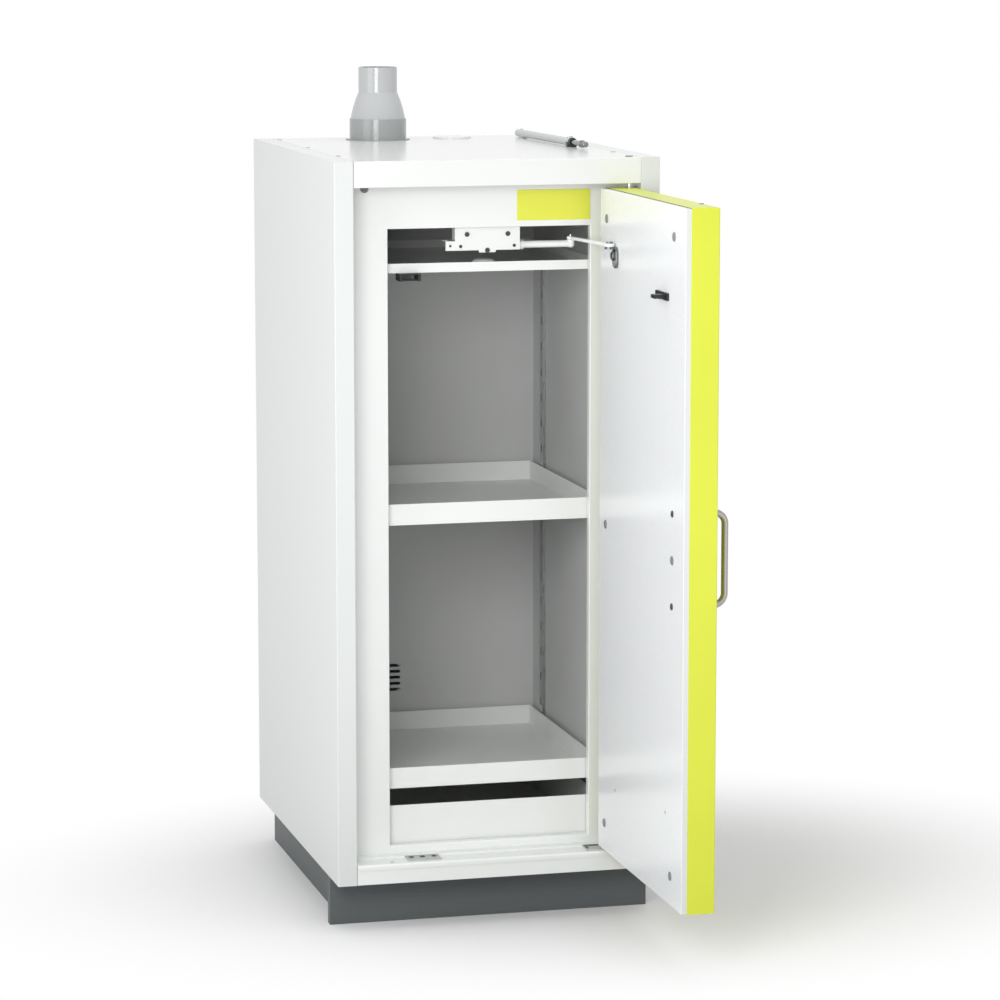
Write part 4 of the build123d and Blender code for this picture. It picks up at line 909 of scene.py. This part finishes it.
bolt_heads = set_out(
    "handle_bolt_heads", socket_head("handle_head", radius=6, height=2), TO_LEFT,
    [(INNER_FACE, HANDLE_LINE, leg) for leg in HANDLE_LEGS],
)
dress(bolt_heads, "dark_metal", "door", "dark_metal", "handle_bolts")
plugs = set_out(
    "door_plugs", turned_head("plug", radius=3, height=0.8), TO_LEFT,
    [(INNER_FACE, -461, 258), (INNER_FACE, -774, 289)],
)
dress(plugs, "pale_zinc", "door", "cap_grey")
# A dark disc on the door's top stands for a small hole there: painted shade of the hole.
top_hole_shade = set_out(
    "door_top_hole_shade", turned_head("top_hole_shade", radius=4, height=0.9), UP,
    [(251, -782, panel_high.z + 1)],
)
dress(top_hole_shade, "dark_metal", "door", "dark_metal")

# %% [markdown]
# A washer is a flat ring. It could be cut like a recess, but an inset of both ends of a cylinder
# and a bridge between the two inner faces gives a clean wall, and its rim is bevelled last.


# %% Washers of the handle
def ring(name, place, outer, inner, height):
    """A flat ring with its axis along Z, standing on its place, sizes in millimetres."""
    bpy.ops.object.select_all(action="DESELECT")
    bpy.ops.mesh.primitive_cylinder_add(
        vertices=32, radius=outer * MM, depth=height * MM,
        location=(Vector(place) + Vector((0, 0, height / 2))) * MM,
    )
    piece = bpy.context.object
    piece.name = name
    bpy.ops.object.transform_apply(location=True, rotation=True, scale=True)
    pick_faces(piece, lambda middle, normal: abs(normal.z) > 0.9)
    bpy.ops.mesh.inset(thickness=(outer - inner) * MM, use_individual=True)
    bpy.ops.mesh.bridge_edge_loops()
    close_mesh()
    rim = place[2] + height
    pick_edges(piece, lambda middle, way: middle.z > rim - 0.01 and abs(way.z) < 0.1)
    bpy.ops.mesh.bevel(offset=min(height, outer - inner) * 0.3 * MM, segments=2, affect="EDGES")
    bpy.ops.object.mode_set(mode="OBJECT")
    return piece


washers = set_out(
    "handle_washers", ring("washer", (0, 0, 0), outer=9.5, inner=6.1, height=1.6), TO_RIGHT,
    [(OUTER_FACE, HANDLE_LINE, leg) for leg in HANDLE_LEGS],
)
dress(washers, "chrome", "door", "chrome")

# %% [markdown]
# ### Roof fittings
# A thin grey ring round the foot of the exhaust collar is painted shade of the crease there. The
# closing cylinder on the roof has a gland nut where its rod comes out, a rounded end at the back
# and two adjusting screws on top, and its rod carries a plain end piece. The cylinder lies a
# little askew, so these parts are turned about Z to its own line.

# %% Shade ring of the collar and cylinder ends
COLLAR_PLACE = (-72, 285, 1400)
CYLINDER_END = Vector((227.5, -43.0, 1409))
CYLINDER_WAY = Vector((0.04362, -0.99905, 0))
CYLINDER_LENGTH = 336
VALVE_LEVEL = 6.6
VALVE_PLACES = (22, 318)

# A grey ring as painted shade where the collar meets the roof.
collar_foot_shade = ring("collar_foot_shade", COLLAR_PLACE, outer=62, inner=60.1, height=1.4)
dress(collar_foot_shade, "strip_grey", "cabinet", "strip_grey")

cylinder_turn = (math.pi / 2, 0, math.atan2(CYLINDER_WAY.x, -CYLINDER_WAY.y))
gland = set_out(
    "closer_gland", ring("gland", (0, 0, 0), outer=8.3, inner=4.2, height=7), cylinder_turn,
    [CYLINDER_END],
)
dress(gland, "dark_metal", "cabinet", "dark_metal")
tail_turn = (-math.pi / 2, 0, cylinder_turn[2])
tail = set_out(
    "closer_tail", turned_head("tail", radius=7.2, height=9, sides=28), tail_turn,
    [CYLINDER_END - CYLINDER_WAY * CYLINDER_LENGTH],
)
dress(tail, "closer_grey", "cabinet", "fitting_white")
valves = set_out(
    "closer_valves", cross_head("valve", radius=3, height=2.2), UP,
    [
        CYLINDER_END - CYLINDER_WAY * along + Vector((0, 0, VALVE_LEVEL))
        for along in VALVE_PLACES
    ],
)
dress(valves, "steel", "cabinet", "steel")

ROD_REACH = 66
rod_end = set_out(
    "closer_rod_end", turned_head("rod_end", radius=5.5, height=18, sides=28, rim=0.08),
    cylinder_turn, [CYLINDER_END + CYLINDER_WAY * ROD_REACH],
)
dress(rod_end, "rod_steel", "closer_rod", "chrome")

# %% [markdown]
# ### Fixings on the sill, the roof and the upper panel
# Three dark screws hold the strike plate in its slots, and one small screw sits beside it. A thin
# dark L along the rear and the left edge of the lower pivot plate is painted shade of the gap
# there: a bar is cut near its left end and the short piece's front is pulled forward. On the roof
# a dark oblong plug closes the hole over the top pivot: a block whose upright edges are bevelled
# until its ends are round. A white cap lies on the upper panel, just behind its lip.

# %% Sill screws, pivot plug and panel cap
SILL_TOP = 124.5
STRIKE_TOP = 126.5
STRIKE_SCREW_X = (-156, -135, -114)
strike_screws = set_out(
    "strike_screws", cross_head("strike_head", radius=4.2, height=1.2), UP,
    [(x, -341, STRIKE_TOP) for x in STRIKE_SCREW_X],
)
dress(strike_screws, "dark_metal", "cabinet", "dark_metal")
sill_screw = set_out(
    "sill_screw", cross_head("sill_head", radius=3.2, height=0.9), UP, [(-197, -362, SILL_TOP)]
)
dress(sill_screw, "steel", "cabinet", "steel")

# A dark L on the pivot plate: painted shade of the gap along its rear and left edge.
GAP_SHADE_FOOT = 127.5
GAP_SHADE_TOP = GAP_SHADE_FOOT + 0.8
GAP_SHADE_CUT = 176
GAP_SHADE_LEG = 18
gap_shade_piece = block("pivot_gap_shade", (171.5, -342, GAP_SHADE_FOOT), (238, -333, GAP_SHADE_TOP))
bpy.ops.object.mode_set(mode="EDIT")
bpy.ops.mesh.select_all(action="SELECT")
bpy.ops.mesh.bisect(plane_co=(GAP_SHADE_CUT * MM, 0, 0), plane_no=(1, 0, 0))
pick_faces(gap_shade_piece, lambda middle, normal: normal.y < -0.9 and middle.x < GAP_SHADE_CUT)
bpy.ops.mesh.extrude_region_move(TRANSFORM_OT_translate={"value": (0, -GAP_SHADE_LEG * MM, 0)})
close_mesh()
pick_edges(gap_shade_piece, lambda middle, way: middle.z > GAP_SHADE_TOP - 0.1 and abs(way.z) < 0.1)
bpy.ops.mesh.bevel(offset=0.2 * MM, segments=2, affect="EDGES")
close_mesh()
dress(gap_shade_piece, "dark_metal", "cabinet", "dark_metal")

PLUG_TOP = roof_top + 1.2
PLUG_ROUND = 3.4
PLUG_RIM = 0.4
pivot_plug = block("pivot_plug", (243, -350.5, roof_top), (257, -343.5, PLUG_TOP))
pick_edges(pivot_plug, lambda middle, way: abs(way.z) > 0.9)
bpy.ops.mesh.bevel(offset=PLUG_ROUND * MM, segments=6, affect="EDGES")
pick_edges(pivot_plug, lambda middle, way: middle.z > PLUG_TOP - 0.1 and abs(way.z) < 0.1)
bpy.ops.mesh.bevel(offset=PLUG_RIM * MM, segments=2, affect="EDGES")
close_mesh()
dress(pivot_plug, "dark_metal", "cabinet", "dark_metal")

PANEL_FLOOR = 1195
panel_cap = set_out(
    "panel_cap", turned_head("cap", radius=22, height=16.3, sides=40), UP, [(6, -240, PANEL_FLOOR)]
)
dress(panel_cap, "fitting_white", "cabinet", "fitting_white")

# %% [markdown]
# ### Fixings of the catch and the stay
# The catch is held by two small screws on the long end of its base. Its keeper is closed at the
# back by a dark plate, sunk in the middle by an inset. A short spring end sticks out of the lug
# of the stay's bracket: a bar whose free end is pulled to a narrow tip.

# %% Catch screws, keeper plate and spring end
CATCH_FACE = 192
catch_screws = set_out(
    "catch_screws", cross_head("catch_head", radius=3, height=1.2), TO_LEFT,
    [(CATCH_FACE, y, 1186.9) for y in (-738, -715)],
)
dress(catch_screws, "black_plastic", "door", "black_plastic")

keeper_low, keeper_high = (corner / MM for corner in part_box("catch_keeper"))
keeper_back = block(
    "keeper_back",
    (keeper_low.x + 5, keeper_high.y - 3, keeper_low.z),
    (keeper_high.x - 5, keeper_high.y - 0.5, keeper_high.z - 2),
)
pick_faces(keeper_back, lambda middle, normal: normal.y < -0.9)
bpy.ops.mesh.inset(thickness=1.5 * MM, depth=-1 * MM)
close_mesh()
dress(keeper_back, "dark_metal", "cabinet", "black_plastic")

SPRING_LOW = (-87, -292.5, 1248.5)
SPRING_HIGH = (-74, -290.5, 1250.5)
SPRING_TIP = Vector((-87, -291.5, 1250.1))
spring_end = block("spring_end", SPRING_LOW, SPRING_HIGH)
pick_faces(spring_end, lambda middle, normal: normal.x < -0.9)
bpy.ops.transform.resize(value=(1, 0.5, 0.4), center_override=SPRING_TIP * MM)
pick_edges(spring_end, lambda middle, way: abs(way.x) > 0.9)
bpy.ops.mesh.bevel(offset=0.3 * MM, segments=2, affect="EDGES")
close_mesh()
dress(spring_end, "steel", "cabinet", "steel")
